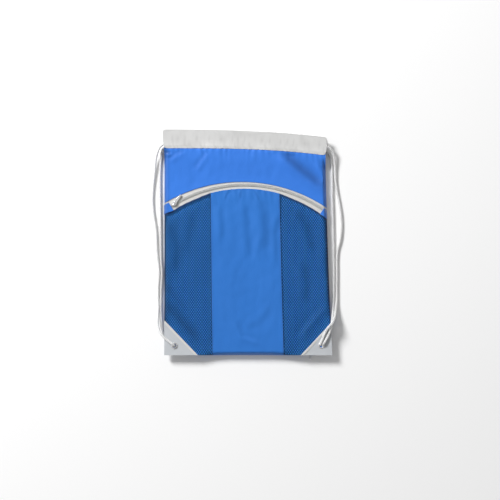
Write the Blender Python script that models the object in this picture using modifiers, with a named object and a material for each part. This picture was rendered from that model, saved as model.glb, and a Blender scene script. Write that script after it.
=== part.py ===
"""Drawstring backpack with a curved zip pocket on its front.

Metres, +Z up. The bag lies on its back: back wall on Z = 0, front face up, mouth towards +Y.
Every flat fabric piece is a ply cut from one shared net of columns and rows, so stacked plies nest
one fabric gap apart. Columns run from mouth to bottom, rows run across the bag.
"""
import math

import bmesh
import bpy
from mathutils import Matrix, Vector

# Outline of the bag
HALF_WIDTH = 0.1723  # casing's left end to the right bottom corner is twice this
HALF_LENGTH = 0.2287  # top of the casing to the bottom seam is twice this
CASING_END_FLARE = 0.0029  # the casing's ends reach this much wider at the top
LEFT_EDGE_X = CASING_END_FLARE - HALF_WIDTH
RIGHT_EDGE_SLANT = 0.014  # the right edge leans in by this much from the bottom to the casing
RIGHT_EDGE_TOP_X = HALF_WIDTH - RIGHT_EDGE_SLANT
RIGHT_EDGE_BOW = -0.0013
CASING_WIDTH = 0.0362
CASING_SEAM_LEFT_Y = HALF_LENGTH - CASING_WIDTH
CASING_SEAM_DROP = 0.0138  # the seam is this much lower at its right end
CASING_SEAM_POWER = 3.0
CASING_TOP_DROP = 0.0158
CASING_TOP_POWER = 2.4

# Fabric
PLY = 0.0007
GAP = 0.0003
LAYER = PLY + GAP

# Cord and its casings
CORD_DIAMETER = 0.005
CORD_CLEARANCE = 0.0002
CASING_WALL = 0.0006
CASING_THICKNESS = CORD_DIAMETER + 2 * (CORD_CLEARANCE + CASING_WALL)
CASING_TUCK = 0.0013  # the tunnel's round lower edge dips this far below the seam line
CASING_COLUMNS = 16
LOOP_ROOM = 0.015  # the inner wall ends this much before the outer one, where the cord turns round
MOUTH_GAP = 0.0048

# How far the bag is filled out
POCKET_HEIGHT = 0.0166  # top of the front panels over the floor
MOUTH_HEIGHT = 2 * CASING_THICKNESS + MOUTH_GAP
MOUTH_RISE_START_Y = HALF_LENGTH - 0.0987
MOUTH_RISE_END_Y = HALF_LENGTH - 0.0537
EDGE_ROLL = 0.014  # the front rolls down to the side and bottom seams over this width
SIDE_SLIT = 0.045  # above this distance below the casing the side seam is open
SIDE_SLIT_BLEND = 0.040
POCKET_DEPTH = 0.0024

# Curved zipper: an arc through its crown, which hangs from the casing's top
CHAIN_X = -0.0066
CHAIN_CROWN_DROP = 0.1107
CHAIN_RADIUS = 0.2786
CHAIN_Y = HALF_LENGTH - CHAIN_CROWN_DROP - CHAIN_RADIUS
CHAIN_SPLIT = 0.0015  # clear slot between the two rows, for the slider's neck
COIL_WIDTH = 0.0022
COIL_HEIGHT = 0.0014
COIL_INNER = CHAIN_SPLIT / 2
COIL_OUTER = COIL_INNER + COIL_WIDTH
UPPER_EDGE_X = CHAIN_X - 0.0051
UPPER_EDGE_RISE = 0.0046  # crown of the upper panel's edge above the chain's crown
UPPER_EDGE_FLATTER = 0.0284  # its radius exceeds the chain's by this much
UPPER_EDGE_RADIUS = CHAIN_RADIUS + UPPER_EDGE_FLATTER
UPPER_EDGE_Y = CHAIN_Y + CHAIN_RADIUS + UPPER_EDGE_RISE - UPPER_EDGE_RADIUS
SEAM_ALLOWANCE = 0.005
POCKET_TOP_CENTRE = 0.0083  # distance of the pocket's top edge below the chain, at the middle panel
POCKET_TOP_SIDE = 0.0105  # and at the mesh panels
POCKET_TOP_BLEND_START = 0.060
POCKET_TOP_BLEND = 0.040
POCKET_END_RISE = 0.004  # the pocket's top edge curls up this much where it meets the left side seam
POCKET_END_REACH = 0.020
ZIP_FADE_BELOW = 0.015
ZIP_FADE_ABOVE = 0.025
TAB_LEFT_X = LEFT_EDGE_X + 0.0135  # where the tabs' inner ends cross the chain
TAB_RIGHT_X = HALF_WIDTH - 0.0187
TAB_MARGIN = 0.0022  # strip of upper tape left uncovered above the tabs

# Seams of the pocket's middle panel, as shares of the width
SEAM_LEFT_SHARE = 0.2905
SEAM_RIGHT_SHARE = 0.708

# Corner patches and grommets
PATCH_LEFT_RISE = 0.0715
PATCH_LEFT_RUN = 0.0686
PATCH_RIGHT_RISE = 0.0655
PATCH_RIGHT_RUN = 0.0640
CORNER_LIFT = 0.013  # room for the knot under each bottom corner
LIFT_REACH = 0.060
FILL_REACH = 0.030
GROMMET_LEFT = (LEFT_EDGE_X + 0.0207, 0.0195 - HALF_LENGTH)
GROMMET_RIGHT = (HALF_WIDTH - 0.0220, 0.0199 - HALF_LENGTH)
GROMMET_BORE = 0.0039
GROMMET_BARREL = 0.0045
GROMMET_FLANGE = 0.0068
GROMMET_CROWN = 0.0011
GROMMET_LIP = 0.0013  # the crown's highest ring lies this far outside the bore
GROMMET_EDGE = 0.0005
GROMMET_FOOT = 0.0057
GROMMET_FOOT_THICKNESS = 0.0004
WASHER_THICKNESS = 0.0008
KNOT_RADIUS = 0.0072
HOLE_CUT_LENGTH = 0.06

# Slider and puller
SLIDER_X = TAB_LEFT_X + 0.0064  # closed end of the slider's travel
SLIDER_LENGTH = 0.011
SLIDER_CHAMFER = 0.0012
SLIDER_PLATE = 0.0009
SLIDER_FOOT = 0.0007
SLIDER_FLANGE = 0.00075
SLIDER_SIDE_CLEARANCE = 0.0003
SLIDER_FOOT_CLEARANCE = 0.0005
NECK_WIDTH = 0.0006
NECK_LENGTH = 0.0035
BAIL_RADIUS = 0.0006
BAIL_HALF_SPAN = 0.0026
BAIL_WINDOW = 0.0025
PULLER_DIRECTION = math.radians(51.0)
PULLER_LENGTH = 0.0235
PULLER_THICKNESS = 0.0010
PULLER_BAR = 0.0014
PULLER_EYE_WIDTH = 0.0068
PULLER_HOLE_LENGTH = 0.0046
PULLER_HOLE_WIDTH = 0.0040
PULLER_WAIST = 0.0042
PULLER_TIP_WIDTH = 0.0056
PULLER_TILT = math.radians(6.3)
PIVOT_RISE = 0.0014  # pivot above the slider's top plate

# Net of columns (distance from a side edge, or share of the width) and rows
EDGE_STEPS = (0.0, 0.0018, 0.004, 0.007, 0.0105, EDGE_ROLL)
LEFT_SHARES = (0.096, 0.144, 0.193, 0.242)
CENTRE_STEPS = 9
RIGHT_SHARES = (0.758, 0.807, 0.856, 0.904)
BOTTOM_STEPS = EDGE_STEPS + (0.026, 0.040, 0.056, 0.074, 0.095)
POCKET_RISE_STEPS = 5
CHEST_STEPS = 6
BACK_STEPS = 4

CORD_SIDES_RESOLUTION = 2
CORD_STEP = 0.014
CORD_STRAIGHT_STEP = 0.060

NYLON_BLUE = (0.045, 0.190, 0.730)
NYLON_DEEP = (0.030, 0.140, 0.500)
NYLON_GREY = (0.640, 0.640, 0.630)
PATCH_GREY = (0.520, 0.540, 0.560)
TAPE_WHITE = (0.700, 0.690, 0.670)
COIL_GREY = (0.560, 0.570, 0.580)
CORD_WHITE = (0.820, 0.820, 0.820)
STEEL = (0.600, 0.600, 0.620)

# Routes of the two cords: x, y, z and the share of the full thickness where a grommet squeezes them
DRAWCORD_LEFT_ROUTE = (
    (-0.1487, -0.2092, 0.0103, 1.0), (-0.1487, -0.2092, 0.0140, 1.0), (-0.1489, -0.2090, 0.0172, 1.0),
    (-0.1499, -0.2083, 0.0197, 1.0), (-0.1518, -0.2067, 0.0211, 1.0), (-0.1546, -0.2045, 0.0212, 1.0),
    (-0.1581, -0.2017, 0.0204, 1.0), (-0.1650, -0.1966, 0.0198, 1.0), (-0.1727, -0.1893, 0.0189, 1.0),
    (-0.1788, -0.1805, 0.0164, 1.0), (-0.1823, -0.1693, 0.0126, 1.0), (-0.1833, -0.1572, 0.0086, 1.0),
    (-0.1821, -0.1429, 0.0050, 1.0), (-0.1814, -0.1287, 0.0031, 1.0), (-0.1823, -0.1124, 0.0026, 1.0),
    (-0.1824, -0.0962, 0.0026, 1.0), (-0.1815, -0.0799, 0.0026, 1.0), (-0.1803, -0.0616, 0.0026, 1.0),
    (-0.1810, -0.0474, 0.0026, 1.0), (-0.1829, -0.0331, 0.0026, 1.0), (-0.1847, -0.0148, 0.0026, 1.0),
    (-0.1855, 0.0055, 0.0026, 1.0), (-0.1869, 0.0279, 0.0026, 1.0), (-0.1898, 0.0482, 0.0026, 1.0),
    (-0.1926, 0.0665, 0.0026, 1.0), (-0.1938, 0.0868, 0.0026, 1.0), (-0.1930, 0.1071, 0.0027, 1.0),
    (-0.1908, 0.1315, 0.0032, 1.0), (-0.1888, 0.1519, 0.0048, 1.0), (-0.1863, 0.1722, 0.0082, 1.0),
    (-0.1829, 0.1854, 0.0112, 1.0), (-0.1772, 0.1956, 0.0139, 1.0), (-0.1711, 0.2001, 0.0147, 1.0),
    (-0.1600, 0.2008, 0.0147, 1.0), (-0.1500, 0.2005, 0.0147, 1.0), (-0.0900, 0.1985, 0.0147, 1.0),
    (-0.0300, 0.1965, 0.0147, 1.0), (0.0300, 0.1940, 0.0147, 1.0), (0.0900, 0.1905, 0.0147, 1.0),
    (0.1300, 0.1870, 0.0147, 1.0), (0.1400, 0.1860, 0.0147, 1.0), (0.1470, 0.1852, 0.0147, 1.0),
    (0.1527, 0.1844, 0.0122, 1.0), (0.1549, 0.1838, 0.0090, 1.0), (0.1527, 0.1834, 0.0058, 1.0),
    (0.1470, 0.1832, 0.0033, 1.0), (0.1400, 0.1843, 0.0033, 1.0), (0.1300, 0.1858, 0.0033, 1.0),
    (0.0900, 0.1900, 0.0033, 1.0), (0.0300, 0.1930, 0.0033, 1.0), (-0.0300, 0.1950, 0.0033, 1.0),
    (-0.0900, 0.1960, 0.0033, 1.0), (-0.1500, 0.1964, 0.0033, 1.0), (-0.1600, 0.1965, 0.0033, 1.0),
    (-0.1708, 0.1956, 0.0033, 1.0), (-0.1742, 0.1930, 0.0031, 1.0), (-0.1756, 0.1883, 0.0029, 1.0),
    (-0.1759, 0.1763, 0.0027, 1.0), (-0.1774, 0.1580, 0.0026, 1.0), (-0.1784, 0.1315, 0.0026, 1.0),
    (-0.1782, 0.1031, 0.0026, 1.0), (-0.1780, 0.0746, 0.0026, 1.0), (-0.1774, 0.0461, 0.0026, 1.0),
    (-0.1770, 0.0157, 0.0026, 1.0), (-0.1768, -0.0148, 0.0026, 1.0), (-0.1760, -0.0392, 0.0026, 1.0),
    (-0.1746, -0.0555, 0.0026, 1.0), (-0.1750, -0.0758, 0.0026, 1.0), (-0.1762, -0.0962, 0.0026, 1.0),
    (-0.1766, -0.1165, 0.0026, 1.0), (-0.1764, -0.1368, 0.0026, 1.0), (-0.1755, -0.1572, 0.0026, 1.0),
    (-0.1739, -0.1734, 0.0026, 1.0), (-0.1707, -0.1866, 0.0028, 1.0), (-0.1655, -0.1950, 0.0034, 1.0),
    (-0.1600, -0.2003, 0.0043, 1.0), (-0.1550, -0.2043, 0.0049, 1.0),
)
DRAWCORD_RIGHT_ROUTE = (
    (0.1485, -0.2081, 0.0103, 0.70), (0.1485, -0.2081, 0.0140, 0.70), (0.1485, -0.2081, 0.0172, 0.70),
    (0.1486, -0.2069, 0.0198, 0.80), (0.1489, -0.2046, 0.0211, 0.90), (0.1496, -0.2010, 0.0212, 1.0),
    (0.1526, -0.1938, 0.0206, 1.0), (0.1575, -0.1826, 0.0204, 1.0), (0.1632, -0.1726, 0.0228, 1.0),
    (0.1705, -0.1645, 0.0248, 1.0), (0.1764, -0.1530, 0.0170, 1.0), (0.1790, -0.1400, 0.0092, 1.0),
    (0.1808, -0.1260, 0.0042, 1.0), (0.1818, -0.1120, 0.0028, 1.0), (0.1820, -0.0860, 0.0026, 1.0),
    (0.1820, -0.0555, 0.0026, 1.0), (0.1820, -0.0311, 0.0026, 1.0), (0.1836, -0.0128, 0.0026, 1.0),
    (0.1884, 0.0055, 0.0026, 1.0), (0.1912, 0.0299, 0.0026, 1.0), (0.1904, 0.0543, 0.0026, 1.0),
    (0.1869, 0.0787, 0.0026, 1.0), (0.1825, 0.1031, 0.0026, 1.0), (0.1792, 0.1275, 0.0028, 1.0),
    (0.1782, 0.1519, 0.0040, 1.0), (0.1768, 0.1702, 0.0070, 1.0), (0.1737, 0.1824, 0.0104, 1.0),
    (0.1684, 0.1913, 0.0134, 1.0), (0.1612, 0.1960, 0.0147, 1.0), (0.1500, 0.1990, 0.0147, 1.0),
    (0.1400, 0.2004, 0.0147, 1.0), (0.0900, 0.2040, 0.0147, 1.0), (0.0300, 0.2070, 0.0147, 1.0),
    (-0.0300, 0.2085, 0.0147, 1.0), (-0.0900, 0.2095, 0.0147, 1.0), (-0.1500, 0.2100, 0.0147, 1.0),
    (-0.1590, 0.2100, 0.0147, 1.0), (-0.1647, 0.2101, 0.0122, 1.0), (-0.1668, 0.2102, 0.0090, 1.0),
    (-0.1647, 0.2103, 0.0058, 1.0), (-0.1590, 0.2104, 0.0033, 1.0), (-0.1500, 0.2103, 0.0033, 1.0),
    (-0.0900, 0.2090, 0.0033, 1.0), (-0.0300, 0.2075, 0.0033, 1.0), (0.0300, 0.2050, 0.0033, 1.0),
    (0.0900, 0.2005, 0.0033, 1.0), (0.1400, 0.1940, 0.0033, 1.0), (0.1500, 0.1918, 0.0033, 1.0),
    (0.1565, 0.1893, 0.0033, 1.0), (0.1613, 0.1863, 0.0032, 1.0), (0.1652, 0.1826, 0.0030, 1.0),
    (0.1686, 0.1755, 0.0028, 1.0), (0.1710, 0.1661, 0.0026, 1.0), (0.1722, 0.1519, 0.0026, 1.0),
    (0.1724, 0.1275, 0.0026, 1.0), (0.1724, 0.0970, 0.0026, 1.0), (0.1732, 0.0665, 0.0026, 1.0),
    (0.1740, 0.0360, 0.0026, 1.0), (0.1748, 0.0055, 0.0026, 1.0), (0.1756, -0.0250, 0.0026, 1.0),
    (0.1762, -0.0555, 0.0026, 1.0), (0.1762, -0.0860, 0.0026, 1.0), (0.1757, -0.1165, 0.0028, 1.0),
    (0.1744, -0.1330, 0.0058, 1.0), (0.1730, -0.1450, 0.0104, 1.0), (0.1722, -0.1560, 0.0160, 1.0),
    (0.1710, -0.1640, 0.0195, 1.0), (0.1697, -0.1720, 0.0200, 1.0), (0.1668, -0.1815, 0.0199, 1.0),
    (0.1623, -0.1917, 0.0201, 1.0), (0.1568, -0.2017, 0.0211, 1.0), (0.1543, -0.2059, 0.0209, 0.90),
    (0.1529, -0.2083, 0.0198, 0.80), (0.1521, -0.2095, 0.0172, 0.70), (0.1521, -0.2095, 0.0140, 0.70),
    (0.1521, -0.2095, 0.0103, 0.70),
)
KNOT_TAIL_ROUTE = (  # x and y from the right grommet's centre
    (-0.0023, -0.0022, 0.0045, 1.0), (-0.0073, -0.0072, 0.0036, 1.0), (-0.0123, -0.0122, 0.0029, 1.0),
    (-0.0163, -0.0168, 0.0027, 1.0), (-0.0195, -0.0220, 0.0026, 1.0), (-0.0221, -0.0282, 0.0026, 1.0),
)


def clear_scene():
    for thing in list(bpy.data.objects):
        bpy.data.objects.remove(thing)


def make_collection(name):
    collection = bpy.data.collections.new(name)
    bpy.context.scene.collection.children.link(collection)
    return collection


def make_material(name, colour, roughness, metallic=0.0):
    material = bpy.data.materials.new(name)
    material.use_nodes = True
    shader = material.node_tree.nodes["Principled BSDF"]
    shader.inputs["Base Color"].default_value = (*colour, 1.0)
    shader.inputs["Roughness"].default_value = roughness
    shader.inputs["Metallic"].default_value = metallic
    material.diffuse_color = (*colour, 1.0)
    return material


# ---- shape of the bag ----


def ease(share):
    share = min(max(share, 0.0), 1.0)
    return share * share * (3.0 - 2.0 * share)


def blend(low, high, share):
    return low + (high - low) * share


def right_edge(y):
    share = (y + HALF_LENGTH) / (CASING_SEAM_LEFT_Y - CASING_SEAM_DROP + HALF_LENGTH)
    bow = RIGHT_EDGE_BOW * 4 * share * (1 - share)
    return blend(HALF_WIDTH, RIGHT_EDGE_TOP_X, share) + bow


def share_across(x):
    return max((x - LEFT_EDGE_X) / (RIGHT_EDGE_TOP_X - LEFT_EDGE_X), 0.0)


def casing_seam(x):
    return CASING_SEAM_LEFT_Y - CASING_SEAM_DROP * share_across(x) ** CASING_SEAM_POWER


def casing_top(x):
    return HALF_LENGTH - CASING_TOP_DROP * share_across(x) ** CASING_TOP_POWER


def chain_arc(x, offset):
    return CHAIN_Y + math.sqrt((CHAIN_RADIUS + offset) ** 2 - (x - CHAIN_X) ** 2)


def chain_angle(x):
    """Turn about the arc's centre, from its crown, of the chain's point at x."""
    return math.asin((x - CHAIN_X) / CHAIN_RADIUS)


def upper_arc(x, offset):
    return UPPER_EDGE_Y + math.sqrt((UPPER_EDGE_RADIUS + offset) ** 2 - (x - UPPER_EDGE_X) ** 2)


def pocket_top(x, offset):
    outward = ease((abs(x - CHAIN_X) - POCKET_TOP_BLEND_START) / POCKET_TOP_BLEND)
    rise = POCKET_END_RISE * ease(1.0 - (x - LEFT_EDGE_X) / POCKET_END_REACH)
    return chain_arc(x, offset + rise - blend(POCKET_TOP_CENTRE, POCKET_TOP_SIDE, outward))


def roll(distance, reach):
    return math.sin(math.pi / 2 * min(max(distance / reach, 0.0), 1.0))


def inside_patch_line(x, y):
    """Distance from the nearer patch's slanting edge, negative on the patch."""
    left = Vector((LEFT_EDGE_X, PATCH_LEFT_RISE - HALF_LENGTH))
    left_normal = Vector((PATCH_LEFT_RISE, PATCH_LEFT_RUN)).normalized()
    right = Vector((right_edge(PATCH_RIGHT_RISE - HALF_LENGTH), PATCH_RIGHT_RISE - HALF_LENGTH))
    right_normal = Vector((-PATCH_RIGHT_RISE, PATCH_RIGHT_RUN)).normalized()
    place = Vector((x, y))
    return min((place - left).dot(left_normal), (place - right).dot(right_normal))


def lift(x, y):
    """Height of the back wall's underside over the floor."""
    return CORNER_LIFT * ease(1.0 - inside_patch_line(x, y) / LIFT_REACH)


def zip_share(x, y):
    """1 where the zipper tapes lie under the front panels, 0 away from them."""
    below = ease((y - pocket_top(x, -SEAM_ALLOWANCE - ZIP_FADE_BELOW)) / ZIP_FADE_BELOW)
    return below * lining_share(x, y)


def lining_share(x, y):
    return 1.0 - ease((y - upper_arc(x, SEAM_ALLOWANCE)) / ZIP_FADE_ABOVE)


def fill_share(x, y):
    side = roll(min(x - LEFT_EDGE_X, right_edge(y) - x), EDGE_ROLL)
    slit = ease((y - casing_seam(x) + SIDE_SLIT) / SIDE_SLIT_BLEND)
    bottom = roll(y + HALF_LENGTH, EDGE_ROLL)
    return max(side, slit) * bottom * roll(inside_patch_line(x, y), FILL_REACH)


def front_height(x, y):
    """Top of the outer front panels."""
    stack = lift(x, y) + 2 * PLY + GAP + LAYER * (lining_share(x, y) + zip_share(x, y))
    rise = ease((y - MOUTH_RISE_START_Y) / (MOUTH_RISE_END_Y - MOUTH_RISE_START_Y))
    full = blend(POCKET_HEIGHT, MOUTH_HEIGHT, rise)
    return stack + (full - stack) * fill_share(x, y)


def lining_height(x, y):
    under_zip = LAYER * (1.0 + zip_share(x, y))
    closing = (y - chain_arc(x, COIL_OUTER)) / (upper_arc(x, 0.0) - chain_arc(x, COIL_OUTER))
    room = 1.0 - lift(x, y) / CORNER_LIFT
    pocket = POCKET_DEPTH * fill_share(x, y) * room * (1.0 - min(max(closing, 0.0), 1.0))
    return front_height(x, y) - under_zip - pocket


# ---- the shared net ----


def left_columns():
    return [("left", step, 0.0) for step in EDGE_STEPS]


def right_columns():
    return [("right", step, 0.0) for step in reversed(EDGE_STEPS)]


def share_columns(shares):
    return [("share", share, 0.0) for share in shares]


def centre_shares():
    return [blend(SEAM_LEFT_SHARE, SEAM_RIGHT_SHARE, i / CENTRE_STEPS) for i in range(CENTRE_STEPS + 1)]


def left_part():
    return left_columns() + share_columns(LEFT_SHARES)


def right_part():
    return share_columns(RIGHT_SHARES) + right_columns()


def all_columns():
    return left_part() + share_columns(centre_shares()) + right_part()


def column_x(column, y):
    kind, value, offset = column
    if kind == "left":
        return LEFT_EDGE_X + value
    if kind == "right":
        return right_edge(y) - value
    return blend(LEFT_EDGE_X, right_edge(y), value) + offset


def row_y(row, x):
    kind, value = row
    if kind == "bottom":
        return value - HALF_LENGTH
    if kind == "rise":
        return blend(BOTTOM_STEPS[-1] - HALF_LENGTH, pocket_top(x, -SEAM_ALLOWANCE - ZIP_FADE_BELOW), value)
    if kind == "pocket":
        return pocket_top(x, value)
    if kind == "chain":
        return chain_arc(x, value)
    if kind == "upper":
        return upper_arc(x, value)
    if kind == "chest":
        return blend(upper_arc(x, SEAM_ALLOWANCE), casing_seam(x), value)
    return blend(pocket_top(x, -SEAM_ALLOWANCE - ZIP_FADE_BELOW), casing_seam(x), value)


def net_point(column, row):
    y = row_y(row, column_x(column, 0.0))
    for _ in range(3):
        x = column_x(column, y)
        y = row_y(row, x)
    return x, y


def rows_below_zip():
    rows = [("bottom", step) for step in BOTTOM_STEPS]
    return rows + [("rise", (i + 1) / POCKET_RISE_STEPS) for i in range(POCKET_RISE_STEPS)]


def pocket_rows():
    return rows_below_zip() + [("pocket", -SEAM_ALLOWANCE), ("pocket", 0.0)]


def lining_rows():
    return pocket_rows() + [("chain", COIL_OUTER), ("upper", 0.0), ("upper", SEAM_ALLOWANCE)]


def chest_rows():
    rows = [("upper", 0.0), ("upper", SEAM_ALLOWANCE)]
    return rows + [("chest", (i + 1) / CHEST_STEPS) for i in range(CHEST_STEPS)]


def back_rows():
    return rows_below_zip() + [("back", (i + 1) / BACK_STEPS) for i in range(BACK_STEPS)]


def link(collection, name, mesh, material):
    thing = bpy.data.objects.new(name, mesh)
    thing.data.materials.append(material)
    collection.objects.link(thing)
    return thing


def mesh_from(bm, name):
    bmesh.ops.recalc_face_normals(bm, faces=bm.faces)
    mesh = bpy.data.meshes.new(name)
    bm.to_mesh(mesh)
    bm.free()
    return mesh


def lay_net(bm, columns, rows, height):
    """A grid whose vertices lie on the net at the given height function."""
    across = len(columns) - 1
    along = len(rows) - 1
    bmesh.ops.create_grid(bm, x_segments=across, y_segments=along, size=0.5)
    for vertex in bm.verts:
        column = columns[round((vertex.co.x + 0.5) * across)]
        row = rows[round((vertex.co.y + 0.5) * along)]
        x, y = net_point(column, row)
        vertex.co = (x, y, height(x, y))
    bmesh.ops.triangulate(bm, faces=bm.faces, quad_method="FIXED")


def cut_away(bm, point, normal):
    """Removes what lies on the side that the normal points to."""
    everything = bm.verts[:] + bm.edges[:] + bm.faces[:]
    bmesh.ops.bisect_plane(bm, geom=everything, plane_co=point, plane_no=normal, clear_outer=True)


def thicken_down(bm, thickness):
    grown = bmesh.ops.extrude_face_region(bm, geom=bm.faces[:])
    vertices = [item for item in grown["geom"] if isinstance(item, bmesh.types.BMVert)]
    bmesh.ops.translate(bm, verts=vertices, vec=(0.0, 0.0, -thickness))


def ply(collection, name, columns, rows, height, material, thickness=PLY, cut=None):
    """One piece of fabric: a stretch of the net with its top at the height function."""
    bm = bmesh.new()
    lay_net(bm, columns, rows, height)
    if cut:
        cut_away(bm, *cut)
    thicken_down(bm, thickness)
    return link(collection, name, mesh_from(bm, name), material)


def pierce(piece, cutters, place):
    """Cuts the hole that a grommet's barrel passes through."""
    bm = bmesh.new()
    radius = GROMMET_BARREL + GAP
    bmesh.ops.create_cone(bm, cap_ends=True, segments=20, radius1=radius, radius2=radius,
                          depth=HOLE_CUT_LENGTH)
    bmesh.ops.translate(bm, verts=bm.verts, vec=(*place, CORNER_LIFT))
    name = piece.name + ("_hole_left" if place[0] < 0 else "_hole_right")
    mesh = mesh_from(bm, name)
    cutter = bpy.data.objects.new(name, mesh)
    cutter.hide_render = True
    cutter.display_type = "WIRE"
    cutters.objects.link(cutter)
    hole = piece.modifiers.new("grommet hole", "BOOLEAN")
    hole.operation = "DIFFERENCE"
    hole.object = cutter


# ---- fabric pieces ----


def make_back_panel(parts, cutters):
    material = make_material("nylon_back", NYLON_BLUE, 0.55)

    def height(x, y):
        return lift(x, y) + PLY

    panel = ply(parts, "back_panel", all_columns(), back_rows(), height, material)
    pierce(panel, cutters, GROMMET_LEFT)
    pierce(panel, cutters, GROMMET_RIGHT)


def make_pocket_lining(parts, cutters):
    material = make_material("nylon_lining", NYLON_DEEP, 0.60)
    lining = ply(parts, "pocket_lining", all_columns(), lining_rows(), lining_height, material)
    pierce(lining, cutters, GROMMET_LEFT)
    pierce(lining, cutters, GROMMET_RIGHT)


def make_pocket_panels(parts, cutters):
    nylon = make_material("nylon_pocket", NYLON_BLUE, 0.55)
    net = make_material("mesh_net", NYLON_DEEP, 0.75)
    left = left_part() + [("share", SEAM_LEFT_SHARE, -GAP / 2)]
    shares = centre_shares()
    centre = [("share", shares[0], GAP / 2)] + share_columns(shares[1:-1]) + [("share", shares[-1], -GAP / 2)]
    right = [("share", SEAM_RIGHT_SHARE, GAP / 2)] + right_part()
    rows = pocket_rows()
    mesh_left = ply(parts, "pocket_mesh_left", left, rows, front_height, net)
    pierce(mesh_left, cutters, GROMMET_LEFT)
    ply(parts, "pocket_centre_panel", centre, rows, front_height, nylon)
    mesh_right = ply(parts, "pocket_mesh_right", right, rows, front_height, net)
    pierce(mesh_right, cutters, GROMMET_RIGHT)


def make_upper_panel(parts):
    material = make_material("nylon_front", NYLON_BLUE, 0.50)
    ply(parts, "upper_front_panel", all_columns(), chest_rows(), front_height, material)


def make_corner_patches(parts, cutters):
    material = make_material("patch_nylon", PATCH_GREY, 0.60)
    rows = [("bottom", step) for step in BOTTOM_STEPS]
    left_normal = (PATCH_LEFT_RISE, PATCH_LEFT_RUN, 0.0)
    left = (left_part(), (LEFT_EDGE_X, PATCH_LEFT_RISE - HALF_LENGTH, 0.0), left_normal, GROMMET_LEFT)
    right_start = (right_edge(PATCH_RIGHT_RISE - HALF_LENGTH), PATCH_RIGHT_RISE - HALF_LENGTH, 0.0)
    right_normal = (-PATCH_RIGHT_RISE, PATCH_RIGHT_RUN, 0.0)
    right = (right_part(), right_start, right_normal, GROMMET_RIGHT)

    def over_front(x, y):
        return front_height(x, y) + LAYER

    def under_back(x, y):
        return lift(x, y) - GAP

    for side, (columns, point, normal, grommet) in (("left", left), ("right", right)):
        for face, height in (("front", over_front), ("back", under_back)):
            name = f"corner_patch_{face}_{side}"
            patch = ply(parts, name, columns, rows, height, material, cut=(point, normal))
            pierce(patch, cutters, grommet)


# ---- zipper ----


def tape_height(x, y):
    return front_height(x, y) - LAYER


def coil_height(x, y):
    return front_height(x, y) - PLY + COIL_HEIGHT


def tab_height(x, y):
    return coil_height(x, y) + LAYER


def make_zipper_tapes(parts):
    material = make_material("zipper_tape", TAPE_WHITE, 0.70)
    lower = [("pocket", -SEAM_ALLOWANCE), ("pocket", 0.0), ("chain", -COIL_OUTER), ("chain", -COIL_INNER)]
    upper = [("chain", COIL_INNER), ("chain", COIL_OUTER), ("upper", 0.0), ("upper", SEAM_ALLOWANCE)]
    ply(parts, "zipper_tape_lower", all_columns(), lower, tape_height, material)
    ply(parts, "zipper_tape_upper", all_columns(), upper, tape_height, material)


def make_zipper_coils(parts):
    material = make_material("zipper_coil", COIL_GREY, 0.45)
    lower = [("chain", -COIL_OUTER), ("chain", -COIL_INNER)]
    upper = [("chain", COIL_INNER), ("chain", COIL_OUTER)]
    ply(parts, "zipper_coil_lower", all_columns(), lower, coil_height, material, COIL_HEIGHT)
    ply(parts, "zipper_coil_upper", all_columns(), upper, coil_height, material, COIL_HEIGHT)


def make_zipper_tabs(parts):
    material = make_material("tab_nylon", NYLON_BLUE, 0.55)
    rows = [("pocket", 0.0), ("chain", -COIL_OUTER), ("chain", -COIL_INNER), ("chain", COIL_INNER)]
    rows += [("chain", COIL_OUTER), ("upper", -TAB_MARGIN)]
    centre = (CHAIN_X, CHAIN_Y, 0.0)
    left_angle = chain_angle(TAB_LEFT_X)
    right_angle = chain_angle(TAB_RIGHT_X)
    left_normal = (math.cos(left_angle), -math.sin(left_angle), 0.0)
    right_normal = (-math.cos(right_angle), math.sin(right_angle), 0.0)
    left = left_columns() + share_columns(LEFT_SHARES[:1])
    right = share_columns(RIGHT_SHARES[-1:]) + right_columns()
    ply(parts, "zipper_tab_left", left, rows, tab_height, material, cut=(centre, left_normal))
    ply(parts, "zipper_tab_right", right, rows, tab_height, material, cut=(centre, right_normal))


# ---- drawcord casings ----


def casing_section(width):
    """Outer outline of the flattened tunnel, from its lower edge, as (along Y, height)."""
    half = CASING_THICKNESS / 2
    points = []
    flat_steps = 3
    round_steps = 4
    for i in range(flat_steps):
        points.append((blend(half, width - half, i / flat_steps), half))
    for i in range(round_steps):
        angle = math.pi / 2 - math.pi * i / round_steps
        points.append((width - half + half * math.cos(angle), half * math.sin(angle)))
    for i in range(flat_steps):
        points.append((blend(width - half, half, i / flat_steps), -half))
    for i in range(round_steps):
        angle = -math.pi / 2 - math.pi * i / round_steps
        points.append((half + half * math.cos(angle), half * math.sin(angle)))
    return points


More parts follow.
